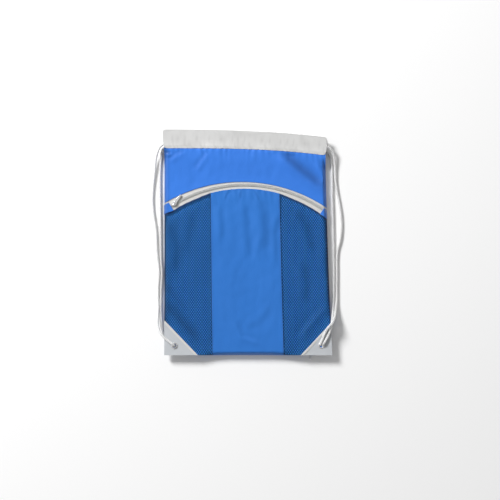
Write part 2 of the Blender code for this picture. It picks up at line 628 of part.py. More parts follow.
def make_casing(parts, name, centre_z, outer_side, material):
    """A flattened sleeve; outer_side is +1 where its outer wall faces up, -1 where it faces down."""
    count = len(casing_section(2 * CASING_THICKNESS))
    bm = bmesh.new()
    bmesh.ops.create_grid(bm, x_segments=CASING_COLUMNS, y_segments=count, size=0.5)
    for vertex in bm.verts:
        share = round((vertex.co.x + 0.5) * CASING_COLUMNS) / CASING_COLUMNS
        index = round((vertex.co.y + 0.5) * count) % count
        x = blend(LEFT_EDGE_X, RIGHT_EDGE_TOP_X, share)
        low = casing_seam(x) - CASING_TUCK
        along, height = casing_section(casing_top(x) - low)[index]
        up = along / (casing_top(x) - low)
        inward = LOOP_ROOM * (0.5 - outer_side * height / CASING_THICKNESS)
        start = LEFT_EDGE_X - CASING_END_FLARE * up + inward
        end = RIGHT_EDGE_TOP_X + CASING_END_FLARE * up - inward
        vertex.co = (blend(start, end, share), low + along, centre_z + height)
    bmesh.ops.remove_doubles(bm, verts=bm.verts, dist=1e-6)
    casing = link(parts, name, mesh_from(bm, name), material)
    wall = casing.modifiers.new("wall", "SOLIDIFY")
    wall.thickness = CASING_WALL
    wall.offset = -1.0
    wall.use_even_offset = True


def make_casings(parts):
    front = make_material("casing_nylon", NYLON_GREY, 0.60)
    back = make_material("casing_nylon_back", NYLON_GREY, 0.60)
    make_casing(parts, "front_casing", MOUTH_HEIGHT - CASING_THICKNESS / 2, 1, front)
    make_casing(parts, "back_casing", CASING_THICKNESS / 2, -1, back)


# ---- grommets ----


def turned(parts, name, place, profile, material):
    """A ring turned about Z; the profile runs down its outer side and up its bore."""
    mesh = bpy.data.meshes.new(name)
    points = [(radius, 0.0, height) for radius, height in profile]
    edges = [(i, (i + 1) % len(points)) for i in range(len(points))]
    mesh.from_pydata(points, edges, [])
    ring = link(parts, name, mesh, material)
    ring.location = (*place, 0.0)
    screw = ring.modifiers.new("turn", "SCREW")
    screw.axis = "Z"
    screw.angle = math.tau
    screw.steps = 28
    screw.render_steps = 28
    screw.use_merge_vertices = True
    screw.merge_threshold = 0.00001


def make_grommets(parts):
    metal = make_material("grommet_metal", STEEL, 0.30, 1.0)
    washer_metal = make_material("washer_metal", STEEL, 0.35, 1.0)
    face = CORNER_LIFT + 3 * PLY + 2 * GAP + LAYER + GAP
    washer_top = CORNER_LIFT - LAYER - GAP
    washer_bottom = washer_top - WASHER_THICKNESS
    foot_top = washer_bottom - GAP
    foot = foot_top - GROMMET_FOOT_THICKNESS
    crown = face + GROMMET_CROWN
    eyelet = (
        (GROMMET_BORE + GROMMET_LIP, crown), (GROMMET_FLANGE - GROMMET_EDGE, crown - 0.0002),
        (GROMMET_FLANGE, face + 0.0003), (GROMMET_FLANGE - 0.0001, face), (GROMMET_BARREL, face),
        (GROMMET_BARREL, foot_top), (GROMMET_FOOT, foot_top), (GROMMET_FOOT, foot),
        (GROMMET_BORE, foot), (GROMMET_BORE, crown - GROMMET_EDGE),
        (GROMMET_BORE + GROMMET_EDGE, crown - 0.0001),
    )
    hole = GROMMET_BARREL + GAP
    outer = GROMMET_FLANGE - 0.0002
    washer = ((outer, washer_top), (outer, washer_bottom), (hole, washer_bottom), (hole, washer_top))
    for side, place in (("left", GROMMET_LEFT), ("right", GROMMET_RIGHT)):
        turned(parts, f"grommet_{side}", place, eyelet, metal)
        turned(parts, f"grommet_washer_{side}", place, washer, washer_metal)


# ---- slider and puller ----


def block(size, centre):
    bm = bmesh.new()
    bmesh.ops.create_cube(bm, size=1.0)
    bmesh.ops.scale(bm, verts=bm.verts, vec=size)
    bmesh.ops.translate(bm, verts=bm.verts, vec=centre)
    return bm


def outline_mesh(name, outlines, half_thickness):
    """A flat outline, with any further outlines as holes, made a closed mesh."""
    curve = bpy.data.curves.new(name, "CURVE")
    curve.dimensions = "2D"
    curve.fill_mode = "BOTH"
    curve.extrude = half_thickness
    for outline in outlines:
        spline = curve.splines.new("POLY")
        spline.points.add(len(outline) - 1)
        for point, (x, y) in zip(spline.points, outline):
            point.co = (x, y, 0.0, 1.0)
        spline.use_cyclic_u = True
    return curve_to_mesh(name, curve)


def curve_to_mesh(name, curve):
    guide = bpy.data.objects.new(name + "_guide", curve)
    bpy.context.scene.collection.objects.link(guide)
    bpy.context.view_layer.update()
    graph = bpy.context.evaluated_depsgraph_get()
    mesh = bpy.data.meshes.new_from_object(guide.evaluated_get(graph), depsgraph=graph)
    mesh.name = name
    bpy.data.objects.remove(guide)
    bm = bmesh.new()
    bm.from_mesh(mesh)
    bmesh.ops.remove_doubles(bm, verts=bm.verts, dist=1e-6)
    bmesh.ops.recalc_face_normals(bm, faces=bm.faces)
    bm.to_mesh(mesh)
    bm.free()
    return mesh


def tube_curve(name, points, radius, resolution=CORD_SIDES_RESOLUTION):
    """A round tube through the points, each (x, y, z, share of the radius)."""
    curve = bpy.data.curves.new(name, "CURVE")
    curve.dimensions = "3D"
    curve.bevel_depth = radius
    curve.bevel_resolution = resolution
    curve.use_fill_caps = True
    spline = curve.splines.new("POLY")
    spline.points.add(len(points) - 1)
    for point, (x, y, z, share) in zip(spline.points, points):
        point.co = (x, y, z, 1.0)
        point.radius = share
    return curve


def fuse(parts, name, meshes, material):
    """Joins closed meshes into one solid."""
    base = link(parts, name, meshes[0], material)
    for mesh in meshes[1:]:
        tool = bpy.data.objects.new(name + "_tool", mesh)
        bpy.context.scene.collection.objects.link(tool)
        union = base.modifiers.new("union", "BOOLEAN")
        union.operation = "UNION"
        union.object = tool
        bpy.context.view_layer.update()
        graph = bpy.context.evaluated_depsgraph_get()
        joined = bpy.data.meshes.new_from_object(base.evaluated_get(graph), depsgraph=graph)
        base.modifiers.clear()
        base.data = joined
        joined.name = name
        bpy.data.objects.remove(tool)
    base.data.materials.clear()
    base.data.materials.append(material)
    return base


def body_outline(length, nose, heel):
    """Slider plate seen from above: round nose at -X, square-cut heel at +X."""
    points = []
    steps = 6
    for i in range(steps + 1):
        angle = math.pi / 2 + math.pi * i / steps
        points.append((-length / 2 + nose * 0.6 + nose * 0.6 * math.cos(angle), nose * math.sin(angle)))
    points += [(length / 2 - SLIDER_CHAMFER, -heel), (length / 2, SLIDER_CHAMFER - heel)]
    points += [(length / 2, heel - SLIDER_CHAMFER), (length / 2 - SLIDER_CHAMFER, heel)]
    return points


def slider_place(height):
    """Point over the chain where the slider stands, from the arc's centre."""
    angle = chain_angle(SLIDER_X)
    return CHAIN_RADIUS * math.sin(angle), CHAIN_RADIUS * math.cos(angle), height


def slider_levels():
    plate_bottom = POCKET_HEIGHT - PLY + COIL_HEIGHT + GAP
    plate_top = plate_bottom + SLIDER_PLATE
    foot_top = POCKET_HEIGHT - LAYER - PLY - SLIDER_FOOT_CLEARANCE
    return plate_bottom, plate_top, foot_top


def slider_half_width():
    return COIL_OUTER + SLIDER_SIDE_CLEARANCE + SLIDER_FLANGE


def make_slider(parts, travel):
    metal = make_material("slider_metal", STEEL, 0.30, 1.0)
    plate_bottom, plate_top, foot_top = slider_levels()
    half = slider_half_width()
    plate = outline_mesh("plate", [body_outline(SLIDER_LENGTH, half * 0.85, half)], SLIDER_PLATE / 2)
    plate.transform(Matrix.Translation((0.0, 0.0, (plate_bottom + plate_top) / 2)))
    foot = outline_mesh("foot", [body_outline(SLIDER_LENGTH, half * 0.8, half - 0.0004)], SLIDER_FOOT / 2)
    foot.transform(Matrix.Translation((0.0, 0.0, foot_top - SLIDER_FOOT / 2)))
    overlap = SLIDER_FOOT / 2
    neck_height = plate_bottom - foot_top + 2 * overlap
    neck = mesh_from(block((NECK_LENGTH, NECK_WIDTH, neck_height),
                           (-SLIDER_LENGTH / 4, 0.0, (plate_bottom + foot_top) / 2)), "neck")
    flange_bottom = POCKET_HEIGHT - LAYER + GAP
    flange_height = plate_bottom + overlap - flange_bottom
    flange_y = half - SLIDER_FLANGE / 2 - 0.00002
    flanges = []
    for side in (-1, 1):
        size = (SLIDER_LENGTH * 0.5, SLIDER_FLANGE, flange_height)
        centre = (SLIDER_LENGTH * 0.12, side * flange_y, flange_bottom + flange_height / 2)
        flanges.append(mesh_from(block(size, centre), "flange"))
    arch = []
    leg_bottom = plate_top - overlap
    arch_z = plate_top + BAIL_WINDOW + BAIL_RADIUS
    corner = 0.0011
    for x, z in ((-BAIL_HALF_SPAN, leg_bottom), (-BAIL_HALF_SPAN, arch_z - corner),
                 (corner - BAIL_HALF_SPAN, arch_z), (BAIL_HALF_SPAN - corner, arch_z),
                 (BAIL_HALF_SPAN, arch_z - corner), (BAIL_HALF_SPAN, leg_bottom)):
        arch.append((x, 0.0, z, 1.0))
    bail = curve_to_mesh("bail", tube_curve("bail", arch, BAIL_RADIUS))
    slider = fuse(parts, "zipper_slider", [plate, foot, neck, *flanges, bail], metal)
    slider.parent = travel
    slider.location = slider_place(0.0)
    slider.rotation_euler = (0.0, 0.0, -chain_angle(SLIDER_X))


def puller_outline():
    eye = PULLER_EYE_WIDTH / 2
    bar = PULLER_BAR / 2
    waist = PULLER_WAIST / 2
    tip = PULLER_TIP_WIDTH / 2
    eye_end = bar + PULLER_HOLE_LENGTH
    half = [(-bar, eye - 0.0012), (0.0005 - bar, eye - 0.0004), (0.0014 - bar, eye), (eye_end, eye)]
    half += [(eye_end + 0.0020, waist), (PULLER_LENGTH - 0.0040, tip), (PULLER_LENGTH - 0.0012, tip - 0.0002)]
    half.append((PULLER_LENGTH, tip - 0.0015))
    return half + [(x, -y) for x, y in reversed(half)]


def puller_hole():
    start = PULLER_BAR / 2
    end = start + PULLER_HOLE_LENGTH
    half = PULLER_HOLE_WIDTH / 2
    corner = 0.0008
    points = [(start, half - corner), (start + corner, half), (end - corner, half), (end, half - corner)]
    return points + [(x, -y) for x, y in reversed(points)]


def make_puller(parts, travel):
    metal = make_material("puller_metal", STEEL, 0.28, 1.0)
    _, plate_top, _ = slider_levels()
    hinge = bpy.data.objects.new("puller_hinge", None)
    parts.objects.link(hinge)
    hinge.parent = travel
    hinge.location = slider_place(plate_top + PIVOT_RISE)
    hinge.rotation_euler = (0.0, PULLER_TILT, PULLER_DIRECTION)
    mesh = outline_mesh("zipper_puller", [puller_outline(), puller_hole()], PULLER_THICKNESS / 2)
    puller = link(parts, "zipper_puller", mesh, metal)
    puller.parent = hinge


# ---- cords ----


def smooth_route(route):
    """Points every millimetre or so on a centripetal spline through the route's own points."""
    points = [Vector(point) for point in route]
    ends = [2 * points[0] - points[1]] + points + [2 * points[-1] - points[-2]]
    smooth = []
    for before, start, end, after in zip(ends, ends[1:], ends[2:], ends[3:]):
        steps = max(2, round((end - start).length / 0.001))
        knots = [0.0]
        for a, b in ((before, start), (start, end), (end, after)):
            knots.append(knots[-1] + max((b.xyz - a.xyz).length, 1e-6) ** 0.5)
        for i in range(steps):
            t = blend(knots[1], knots[2], i / steps)
            a1 = before.lerp(start, (t - knots[0]) / (knots[1] - knots[0]))
            a2 = start.lerp(end, (t - knots[1]) / (knots[2] - knots[1]))
            a3 = end.lerp(after, (t - knots[2]) / (knots[3] - knots[2]))
            b1 = a1.lerp(a2, (t - knots[0]) / (knots[2] - knots[0]))
            b2 = a2.lerp(a3, (t - knots[1]) / (knots[3] - knots[1]))
            smooth.append(b1.lerp(b2, (t - knots[1]) / (knots[2] - knots[1])))
    return smooth + [points[-1]]


def thin_route(points):
    """Keeps a point at each step, sooner where the route bends and later where it is straight."""
    kept = [points[0]]
    turned_by = 0.0
    run = 0.0
    for before, here, after in zip(points, points[1:], points[2:]):
        run += (here - before).length
        turned_by += (here - before).xyz.angle((after - here).xyz, 0.0)
        bent = turned_by > math.radians(17.0)
        due = run > CORD_STEP and turned_by > math.radians(1.2)
        if bent or due or run > CORD_STRAIGHT_STEP:
            kept.append(here)
            turned_by = 0.0
            run = 0.0
    return kept + [points[-1]]


def make_cord(parts, name, route, material):
    points = [tuple(point) for point in thin_route(smooth_route([Vector(point) for point in route]))]
    cord = bpy.data.objects.new(name, tube_curve(name, points, CORD_DIAMETER / 2))
    cord.data.materials.append(material)
    parts.objects.link(cord)


def knot_body(place):
    """A pulled-tight knot: a squat ball with a flat top against the grommet."""
    top = CORNER_LIFT - LAYER - GAP - WASHER_THICKNESS - GAP - GROMMET_FOOT_THICKNESS - GAP
    bm = bmesh.new()
    bmesh.ops.create_uvsphere(bm, u_segments=18, v_segments=12, radius=1.0)
    half = top / 2
    bmesh.ops.scale(bm, verts=bm.verts, vec=(KNOT_RADIUS, KNOT_RADIUS * 0.92, half))
    for vertex in bm.verts:
        vertex.co.z = max(min(vertex.co.z, half * 0.82), GAP - half)
    bmesh.ops.translate(bm, verts=bm.verts, vec=(*place, top / 2 + half * 0.18))
    return bm


def make_knots(parts):
    left_material = make_material("knot_left_cord", CORD_WHITE, 0.80)
    right_material = make_material("knot_right_cord", CORD_WHITE, 0.80)
    link(parts, "cord_knot_left", mesh_from(knot_body(GROMMET_LEFT), "cord_knot_left"), left_material)
    shift = Vector((*GROMMET_RIGHT, 0.0, 0.0))
    route = [Vector(point) + shift for point in KNOT_TAIL_ROUTE]
    tail_points = [tuple(point) for point in thin_route(smooth_route(route))]
    tail = curve_to_mesh("tail", tube_curve("tail", tail_points, CORD_DIAMETER / 2))
    fuse(parts, "cord_knot_right", [mesh_from(knot_body(GROMMET_RIGHT), "knot"), tail], right_material)


def make_cords(parts):
    left_material = make_material("drawcord_left_braid", CORD_WHITE, 0.80)
    right_material = make_material("drawcord_right_braid", CORD_WHITE, 0.80)
    make_cord(parts, "drawcord_left", DRAWCORD_LEFT_ROUTE, left_material)
    make_cord(parts, "drawcord_right", DRAWCORD_RIGHT_ROUTE, right_material)


def main():
    clear_scene()
    parts = make_collection("drawstring_backpack")
    cutters = make_collection("cutters")
    make_back_panel(parts, cutters)
    make_pocket_lining(parts, cutters)
    make_pocket_panels(parts, cutters)
    make_upper_panel(parts)
    make_corner_patches(parts, cutters)
    make_zipper_tapes(parts)
    make_zipper_coils(parts)
    make_zipper_tabs(parts)
    make_casings(parts)
    make_grommets(parts)
    travel = bpy.data.objects.new("slider_travel_axis", None)
    parts.objects.link(travel)
    travel.location = (CHAIN_X, CHAIN_Y, 0.0)
    make_slider(parts, travel)
    make_puller(parts, travel)
    make_cords(parts)
    make_knots(parts)
    bpy.context.view_layer.update()


main()
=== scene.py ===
"""Looks of the drawstring backpack: cloth, nets, zipper, cords, stitching and the photo stage."""
import math

import bmesh
import bpy
from mathutils import Matrix, Vector, noise


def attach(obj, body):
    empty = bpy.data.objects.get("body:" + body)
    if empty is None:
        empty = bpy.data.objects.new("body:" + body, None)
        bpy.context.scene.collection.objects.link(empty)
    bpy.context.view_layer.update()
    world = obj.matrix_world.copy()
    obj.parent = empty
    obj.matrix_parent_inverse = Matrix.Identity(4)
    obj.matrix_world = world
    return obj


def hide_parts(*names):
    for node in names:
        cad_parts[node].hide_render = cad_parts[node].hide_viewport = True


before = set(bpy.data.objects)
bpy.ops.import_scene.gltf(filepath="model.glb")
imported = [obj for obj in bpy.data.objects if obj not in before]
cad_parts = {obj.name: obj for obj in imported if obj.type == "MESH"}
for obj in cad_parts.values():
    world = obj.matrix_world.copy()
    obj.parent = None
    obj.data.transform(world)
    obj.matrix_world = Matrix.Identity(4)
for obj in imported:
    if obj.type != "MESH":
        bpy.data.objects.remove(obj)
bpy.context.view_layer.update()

bl_info = {
    "name": "Drawstring backpack",
    "version": (1, 0, 0),
    "blender": (4, 5, 0),
    "location": "View3D > Sidebar > Backpack",
    "description": "Dresses the packed backpack in cloth, net, cord and metal",
    "category": "Object",
}

# Shape of the bag, in metres, after the part's source; the edge roll is narrower than that of the solids
HALF_WIDTH = 0.1723
HALF_LENGTH = 0.2287
LEFT_EDGE_X = -0.1694
RIGHT_EDGE_TOP_X = 0.1583
RIGHT_EDGE_BOW = -0.0013
CASING_SEAM_LEFT_Y = 0.1925
CASING_SEAM_DROP = 0.0138
CASING_SEAM_POWER = 3.0
CASING_TOP_DROP = 0.0158
CASING_TOP_POWER = 2.4
CASING_END_FLARE = 0.0029
PLY = 0.0007
GAP = 0.0003
LAYER = PLY + GAP
CORD_RADIUS = 0.0025
CASING_THICKNESS = 0.0066
LOOP_ROOM = 0.015
POCKET_HEIGHT = 0.0166
MOUTH_HEIGHT = 0.0180
MOUTH_RISE_START_Y = 0.130
MOUTH_RISE_END_Y = 0.175
EDGE_ROLL = 0.0068
SIDE_SLIT = 0.045
SIDE_SLIT_BLEND = 0.040
CHAIN_X = -0.0066
CHAIN_Y = -0.1606
CHAIN_RADIUS = 0.2786
COIL_OUTER = 0.00295  # from the chain's centre to the outer end of a turn
TOOTH_REACH = 0.0004  # how far each turn of the coil passes the chain's centre
TOOTH_SLANT = 0.32  # radians
UPPER_EDGE_X = -0.0117
UPPER_EDGE_Y = -0.1844
UPPER_EDGE_RADIUS = 0.3070
SEAM_ALLOWANCE = 0.005
POCKET_END_RISE = 0.004
POCKET_END_REACH = 0.020
TAB_MARGIN = 0.0022
TAB_LEFT_ANGLE = math.radians(-32.4)
TAB_RIGHT_ANGLE = math.radians(35.1)
SEAM_LEFT_SHARE = 0.2905
SEAM_RIGHT_SHARE = 0.708
PATCH_SIZES = {-1: (0.0715, 0.0686), 1: (0.0655, 0.0640)}  # rise and run of the left and right patches
CORNER_LIFT = 0.013
LIFT_REACH = 0.060
FILL_REACH = 0.030
GROMMET_LEFT = (-0.1487, -0.2092)
GROMMET_RIGHT = (0.1503, -0.2088)
GROMMET_HOLE = 0.0052
SIDES = (  # side, its name, the place of its pocket seam as a share of the width, its grommet
    (-1, "left", SEAM_LEFT_SHARE, GROMMET_LEFT),
    (1, "right", SEAM_RIGHT_SHARE, GROMMET_RIGHT),
)

# Thicknesses and widths of cloth, and how far one piece lies over or under another
CLOTH = 0.0005
THICK_CLOTH = 0.0006
TAB_CLOTH = 0.0009
NET_CLOTH = 0.0004
TAB_LEVEL = 0.0013
CENTRE_LEVEL = 0.0005
BINDING_LEVEL = 0.0002
TOP_BINDING_LEVEL = 0.0004
BINDING_WIDTH = 0.0022
TOP_BINDING_WIDTH = 0.0030
SIDE_BINDING_WIDTH = 0.0024
BINDING_UNDER_PATCH = 0.004
BINDING_OVER_NET = 0.0003
SEAM_OVERLAP = 0.001
CHEST_OVER_TAPE = 0.0010
CHEST_UNDER_CASING = 0.0012
LINING_INSET = 0.0006
LINING_DROP = 0.0002
NET_UNDER_SEAM = 0.003
NET_UNDER_PATCH = 0.010
HEM_WIDTH = 0.0045
HEM_PUFF = 0.0003
HEM_THREAD_LEVEL = 0.0008
HEM_REACH = 0.985  # share of the slanting edge that carries the hem
TAPE_UNDER_NET = 0.0026
COIL_LEFT_MARGIN = 0.003
COIL_RIGHT_X = 0.1610
CASING_COLUMNS = 200
CASING_STEPS = 60
CASING_UNDERLAP = 0.0004
CASING_EXTRA_WIDTH = 0.0016
# painted shade: how much the casing's creases darken its colour
CASING_SHADE = 0.13
KNOT_RADIUS = 0.0050
KNOT_CORD_RADIUS = 0.0023
KNOT_LOW = 0.0029
KNOT_HIGH = 0.0076
STITCH_INSET = 0.0012  # from a cloth's edge to its row of stitches
CHEST_STITCH_INSET = 0.0018
ZIP_STITCH_INSET = 0.0020
SEAM_TOPS = {-1: 0.094, 1: 0.088}  # y where the stitches beside the pocket's middle panel end
SEAM_END = 0.004  # from the bag's sides to the first stitch of a row across it
EDGE_BREAKS = {"grommet": 0.00025, "slider": 0.0004, "puller": 0.0005}  # bevels of the metal's edges

# The photo: its scale, its centre on the bag, the height at which the scale holds, and the lens
METRES_PER_PIXEL = 0.002033
PHOTO_PIXELS = 500
PHOTO_CENTRE = (0.0050, -0.0148)
PHOTO_PLANE = 0.015
LENS = 200.0
SENSOR = 36.0

# The stage; a share of light is the brightness that it gives a white level surface
FILL = 0.33
FLOOR_SIZE = 12.0
FLOOR_LEVEL = -0.0003  # just under the bag, so that their faces don't fight
FLOOR_WHITE = 0.93
FLOOR_GLOW = 0.04  # what the camera sees the floor give off, for the photo's clean white
WINDOW_TURN = math.radians(134)
WINDOW_HEIGHT = math.radians(35)
WINDOW_DISTANCE = 5.0
WINDOW_SIZE = 1.6
WINDOW_SHARE = 0.72

# Folds of the front, in millimetres: points (x, y), distance from ridge to valley, softness and height,
# and then how much the crease's painted shade darkens the cloth's colour. The valley lies to the left of the
# walking direction.
FOLD_LINES = (
    (((60, 190), (90, 161), (119, 137), (170, 97)), 8, 10, 2.4, 0.44),
    (((140, 170), (158, 136), (164, 118)), 5, 6, 1.2, 0.05),
    (((-108, 144), (-95, 164), (-77, 190)), 4, 5.6, 0.6, 0.13),
    (((-162, 166), (-148, 176), (-124, 189)), 4, 5.6, 0.6, 0.14),
    (((-171, 181), (-162, 181.5), (-154, 180)), 3, 3, 1.4, 0.25),
    (((-36, 108), (-43, 98), (-46, 86)), 2, 2.6, 0.4, 0.08),
    (((-13, 109), (-15, 99), (-15, 88)), 2, 2.4, 0.4, 0.1),
    (((11, 108), (19, 96), (24, 84)), 2, 2.6, 0.4, 0.1),
    (((20, 96), (32, 60), (37, 20), (30, -30)), 7, 11, 1, 0.08),
    (((-6, 90), (-2, 30), (4, -40)), 6, 9, 0.9, 0.03),
    (((-58, 80), (-52, 40), (-54, 0)), 5, 8, 0.8, 0.04),
    (((64, 60), (56, 20), (60, -50)), 5, 7, 0.8, 0.05),
    (((44, -116), (38, -142), (20, -164), (-8, -170)), 5, 8.5, 0.4, 0.05),
    (((-26, -156), (-10, -190), (35, -206)), 4, 6, 0.7, 0.04),
    (((-174, -121), (-137, -160), (-90, -211)), 7, 9, 3, 0.3),
    (((-170, -85), (-150, -110), (-120, -145)), 6, 8, 1.4, 0.1),
    (((164, -120), (130, -156), (100, -198)), 6, 8, -1.4, 0.08),
    (((-160, 50), (-145, -10), (-150, -70)), 8, 11, 1.8, 0.14),
    (((-110, 70), (-120, 20), (-130, -40)), 7, 11, 1.2, 0.08),
    (((95, 70), (120, 30), (135, -30)), 7, 11, 1.6, 0.1),
    (((108, -30), (120, -80), (115, -130)), 7, 11, 1.4, 0.1),
)
# Painted shade in the cloth's colour, from creases and the turn at the sides, is held under this limit
FOLD_SHADE_LIMIT = 0.6
EDGE_SHADE = 0.52  # painted shade: the cloth's colour is this much darker where it turns down at the side seams
EDGE_SHADE_RIGHT = 0.1  # share of that painted shade at the right side, which the lamp already leaves darker
EDGE_SHADE_WIDTH = 0.015

# Routes of the cords, in millimetres: x, y, then z where the cord is off the floor, then the share of the
# full thickness where a grommet squeezes it
DRAWCORD_LEFT_ROUTE = (
    (-148.7, -209.2, 10.3), (-148.7, -209.2, 14), (-148.9, -209, 17.2), (-149.9, -208.3, 19.7),
    (-151.8, -206.7, 21.1), (-154.6, -204.5, 21.2), (-158.1, -201.7, 20.4), (-165, -196.6, 19.8),
    (-172.7, -189.3, 18.9), (-178.8, -180.5, 16.4), (-182.3, -169.3, 12.6), (-183.3, -157.2, 8.6),
    (-182.1, -142.9, 5), (-181.4, -128.7, 3.1), (-182.3, -112.4), (-182.4, -96.2), (-181.5, -79.9),
    (-180.3, -61.6), (-181, -47.4), (-182.9, -33.1), (-184.7, -14.8), (-185.5, 5.5), (-186.9, 27.9),
    (-189.8, 48.2), (-192.6, 66.5), (-193.8, 86.8), (-193, 107.1, 2.7), (-190.8, 131.5, 3.2),
    (-188.8, 151.9, 4.8), (-186.3, 172.2, 8.2), (-182.9, 185.4, 11.2), (-177.2, 195.6, 13.9),
    (-171.1, 200.1, 14.7), (-160, 200.8, 14.7), (-150, 200.5, 14.7), (-90, 198.5, 14.7),
    (-30, 196.5, 14.7), (30, 194, 14.7), (90, 190.5, 14.7), (130, 187, 14.7), (140, 186, 14.7),
    (147, 185.2, 14.7), (152.7, 184.4, 12.2), (154.9, 183.8, 9), (152.7, 183.4, 5.8), (147, 183.2, 3.3),
    (140, 184.3, 3.3), (130, 185.8, 3.3), (90, 190, 3.3), (30, 193, 3.3), (-30, 195, 3.3), (-90, 196, 3.3),
    (-150, 196.4, 3.3), (-160, 196.5, 3.3), (-170.8, 195.6, 3.3), (-174.2, 193, 3.1), (-175.6, 188.3, 2.9),
    (-175.9, 176.3, 2.7), (-177.4, 158), (-178.4, 131.5), (-178.2, 103.1), (-178, 74.6), (-177.4, 46.1),
    (-177, 15.7), (-176.8, -14.8), (-176, -39.2), (-174.6, -55.5), (-175, -75.8), (-176.2, -96.2),
    (-176.6, -116.5), (-176.4, -136.8), (-175.5, -157.2), (-173.9, -173.4), (-170.7, -186.6, 2.8),
    (-165.5, -195, 3.4), (-160, -200.3, 4.3), (-155, -204.3, 4.9),
)
DRAWCORD_RIGHT_ROUTE = (
    (148.5, -208.1, 10.3, 0.7), (148.5, -208.1, 14, 0.7), (148.5, -208.1, 17.2, 0.7),
    (148.6, -206.9, 19.8, 0.8), (148.9, -204.6, 21.1, 0.9), (149.6, -201, 21.2), (152.6, -193.8, 20.6),
    (157.5, -182.6, 20.4), (163.2, -172.6, 22.8), (170.5, -164.5, 24.8), (176.4, -153, 17),
    (179, -140, 9.2), (180.8, -126, 4.2), (181.8, -112, 2.8), (182, -86), (182, -55.5), (182, -31.1),
    (183.6, -12.8), (188.4, 5.5), (191.2, 29.9), (190.4, 54.3), (186.9, 78.7), (182.5, 103.1),
    (179.2, 127.5, 2.8), (178.2, 151.9, 4), (176.8, 170.2, 7), (173.7, 182.4, 10.4), (168.4, 191.3, 13.4),
    (161.2, 196, 14.7), (150, 199, 14.7), (140, 200.4, 14.7), (90, 204, 14.7), (30, 207, 14.7),
    (-30, 208.5, 14.7), (-90, 209.5, 14.7), (-150, 210, 14.7), (-159, 210, 14.7), (-164.7, 210.1, 12.2),
    (-166.8, 210.2, 9), (-164.7, 210.3, 5.8), (-159, 210.4, 3.3), (-150, 210.3, 3.3), (-90, 209, 3.3),
    (-30, 207.5, 3.3), (30, 205, 3.3), (90, 200.5, 3.3), (140, 194, 3.3), (150, 191.8, 3.3),
    (156.5, 189.3, 3.3), (161.3, 186.3, 3.2), (165.2, 182.6, 3), (168.6, 175.5, 2.8), (171, 166.1),
    (172.2, 151.9), (172.4, 127.5), (172.4, 97), (173.2, 66.5), (174, 36), (174.8, 5.5), (175.6, -25),
    (176.2, -55.5), (176.2, -86), (175.7, -116.5, 2.8), (174.4, -133, 5.8), (173, -145, 10.4),
    (172.2, -156, 16), (171, -164, 19.5), (169.7, -172, 20), (166.8, -181.5, 19.9), (162.3, -191.7, 20.1),
    (156.8, -201.7, 21.1), (154.3, -205.9, 20.9, 0.9), (152.9, -208.3, 19.8, 0.8),
    (152.1, -209.5, 17.2, 0.7), (152.1, -209.5, 14, 0.7), (152.1, -209.5, 10.3, 0.7),
)
KNOT_TAIL_ROUTE = (
    (148, -211, 4.5), (143, -216, 3.6), (138, -221, 2.9), (134, -225.6, 2.7), (130.8, -230.8),
    (128.2, -237),
)


def length_property(label, description, value):
    return bpy.props.FloatProperty(name=label, description=description, default=value, unit="LENGTH")


class BACKPACK_PG_cloth(bpy.types.PropertyGroup):
    """Cloth, net and thread"""
    fold_depth: bpy.props.FloatProperty(
        name="Fold depth", description="Strength of the long folds", default=1.0)
    ripple: length_property("Ripple", "Height of the cloth's small waves", 0.0005)
    pucker: length_property("Pucker", "Height of the puckers beside seams", 0.0007)
    mesh_step: length_property("Grid step", "Spacing of the cloth's vertices", 0.0022)
    net_pitch: length_property("Net pitch", "Distance from hole to hole across the bag", 0.0048)
    net_pitch_along: length_property("Net pitch along", "Distance from hole to hole along the bag", 0.0068)
    net_strand: length_property("Net strand", "Half the width of a net strand", 0.00024)
    stitch: length_property("Stitch", "Length of a stitch", 0.0026)
    stitch_gap: length_property("Stitch gap", "Gap between stitches", 0.0009)
    thread: length_property("Thread", "Thickness of the sewing thread", 0.00045)
    tooth_pitch: length_property("Tooth pitch", "Distance between coil turns", 0.0020)


def colour_property(label, value):
    return bpy.props.FloatVectorProperty(
        name=label, description=f"Colour of the {label.lower()}", subtype="COLOR", size=3, min=0, max=1,
        default=value)


class BACKPACK_PG_colours(bpy.types.PropertyGroup):
    """Colours of the backpack"""
    nylon: colour_property("Blue nylon", (0.030, 0.190, 0.720))
    pocket: colour_property("Pocket nylon", (0.018, 0.165, 0.575))
    net: colour_property("Net", (0.008, 0.074, 0.205))
    lining: colour_property("Lining", (0.036, 0.290, 0.940))
    casing: colour_property("Casing", (0.610, 0.610, 0.605))
    # real seam binding strips, coloured near-black as painted shadow along the seams and under the zipper
    # tape
    binding: colour_property("Seam binding", (0.005, 0.040, 0.135))
    hem: colour_property("Patch hem", (0.630, 0.630, 0.622))
    patch: colour_property("Corner patch", (0.520, 0.543, 0.570))
    tape: colour_property("Zipper tape", (0.660, 0.650, 0.625))
    coil: colour_property("Zipper coil", (0.600, 0.610, 0.605))
    cord: colour_property("Cord", (0.800, 0.800, 0.795))
    thread: colour_property("Blue thread", (0.015, 0.085, 0.330))
    pale_thread: colour_property("Pale thread", (0.700, 0.700, 0.690))
    metal: colour_property("Metal", (0.720, 0.720, 0.735))


def sizes():
    return bpy.context.scene.backpack_cloth


def colours():
    return bpy.context.scene.backpack_colours


# ---- shape of the bag ----


def ease(share):
    share = min(max(share, 0.0), 1.0)
    return share * share * (3.0 - 2.0 * share)


def blend(low, high, share):
    return low + (high - low) * share


def right_edge(y):
    share = (y + HALF_LENGTH) / (CASING_SEAM_LEFT_Y - CASING_SEAM_DROP + HALF_LENGTH)
    bow = RIGHT_EDGE_BOW * 4 * share * (1 - share)
    return blend(HALF_WIDTH, RIGHT_EDGE_TOP_X, share) + bow


def share_across(x):
    return max((x - LEFT_EDGE_X) / (RIGHT_EDGE_TOP_X - LEFT_EDGE_X), 0.0)


def casing_seam(x):
    return CASING_SEAM_LEFT_Y - CASING_SEAM_DROP * share_across(x) ** CASING_SEAM_POWER


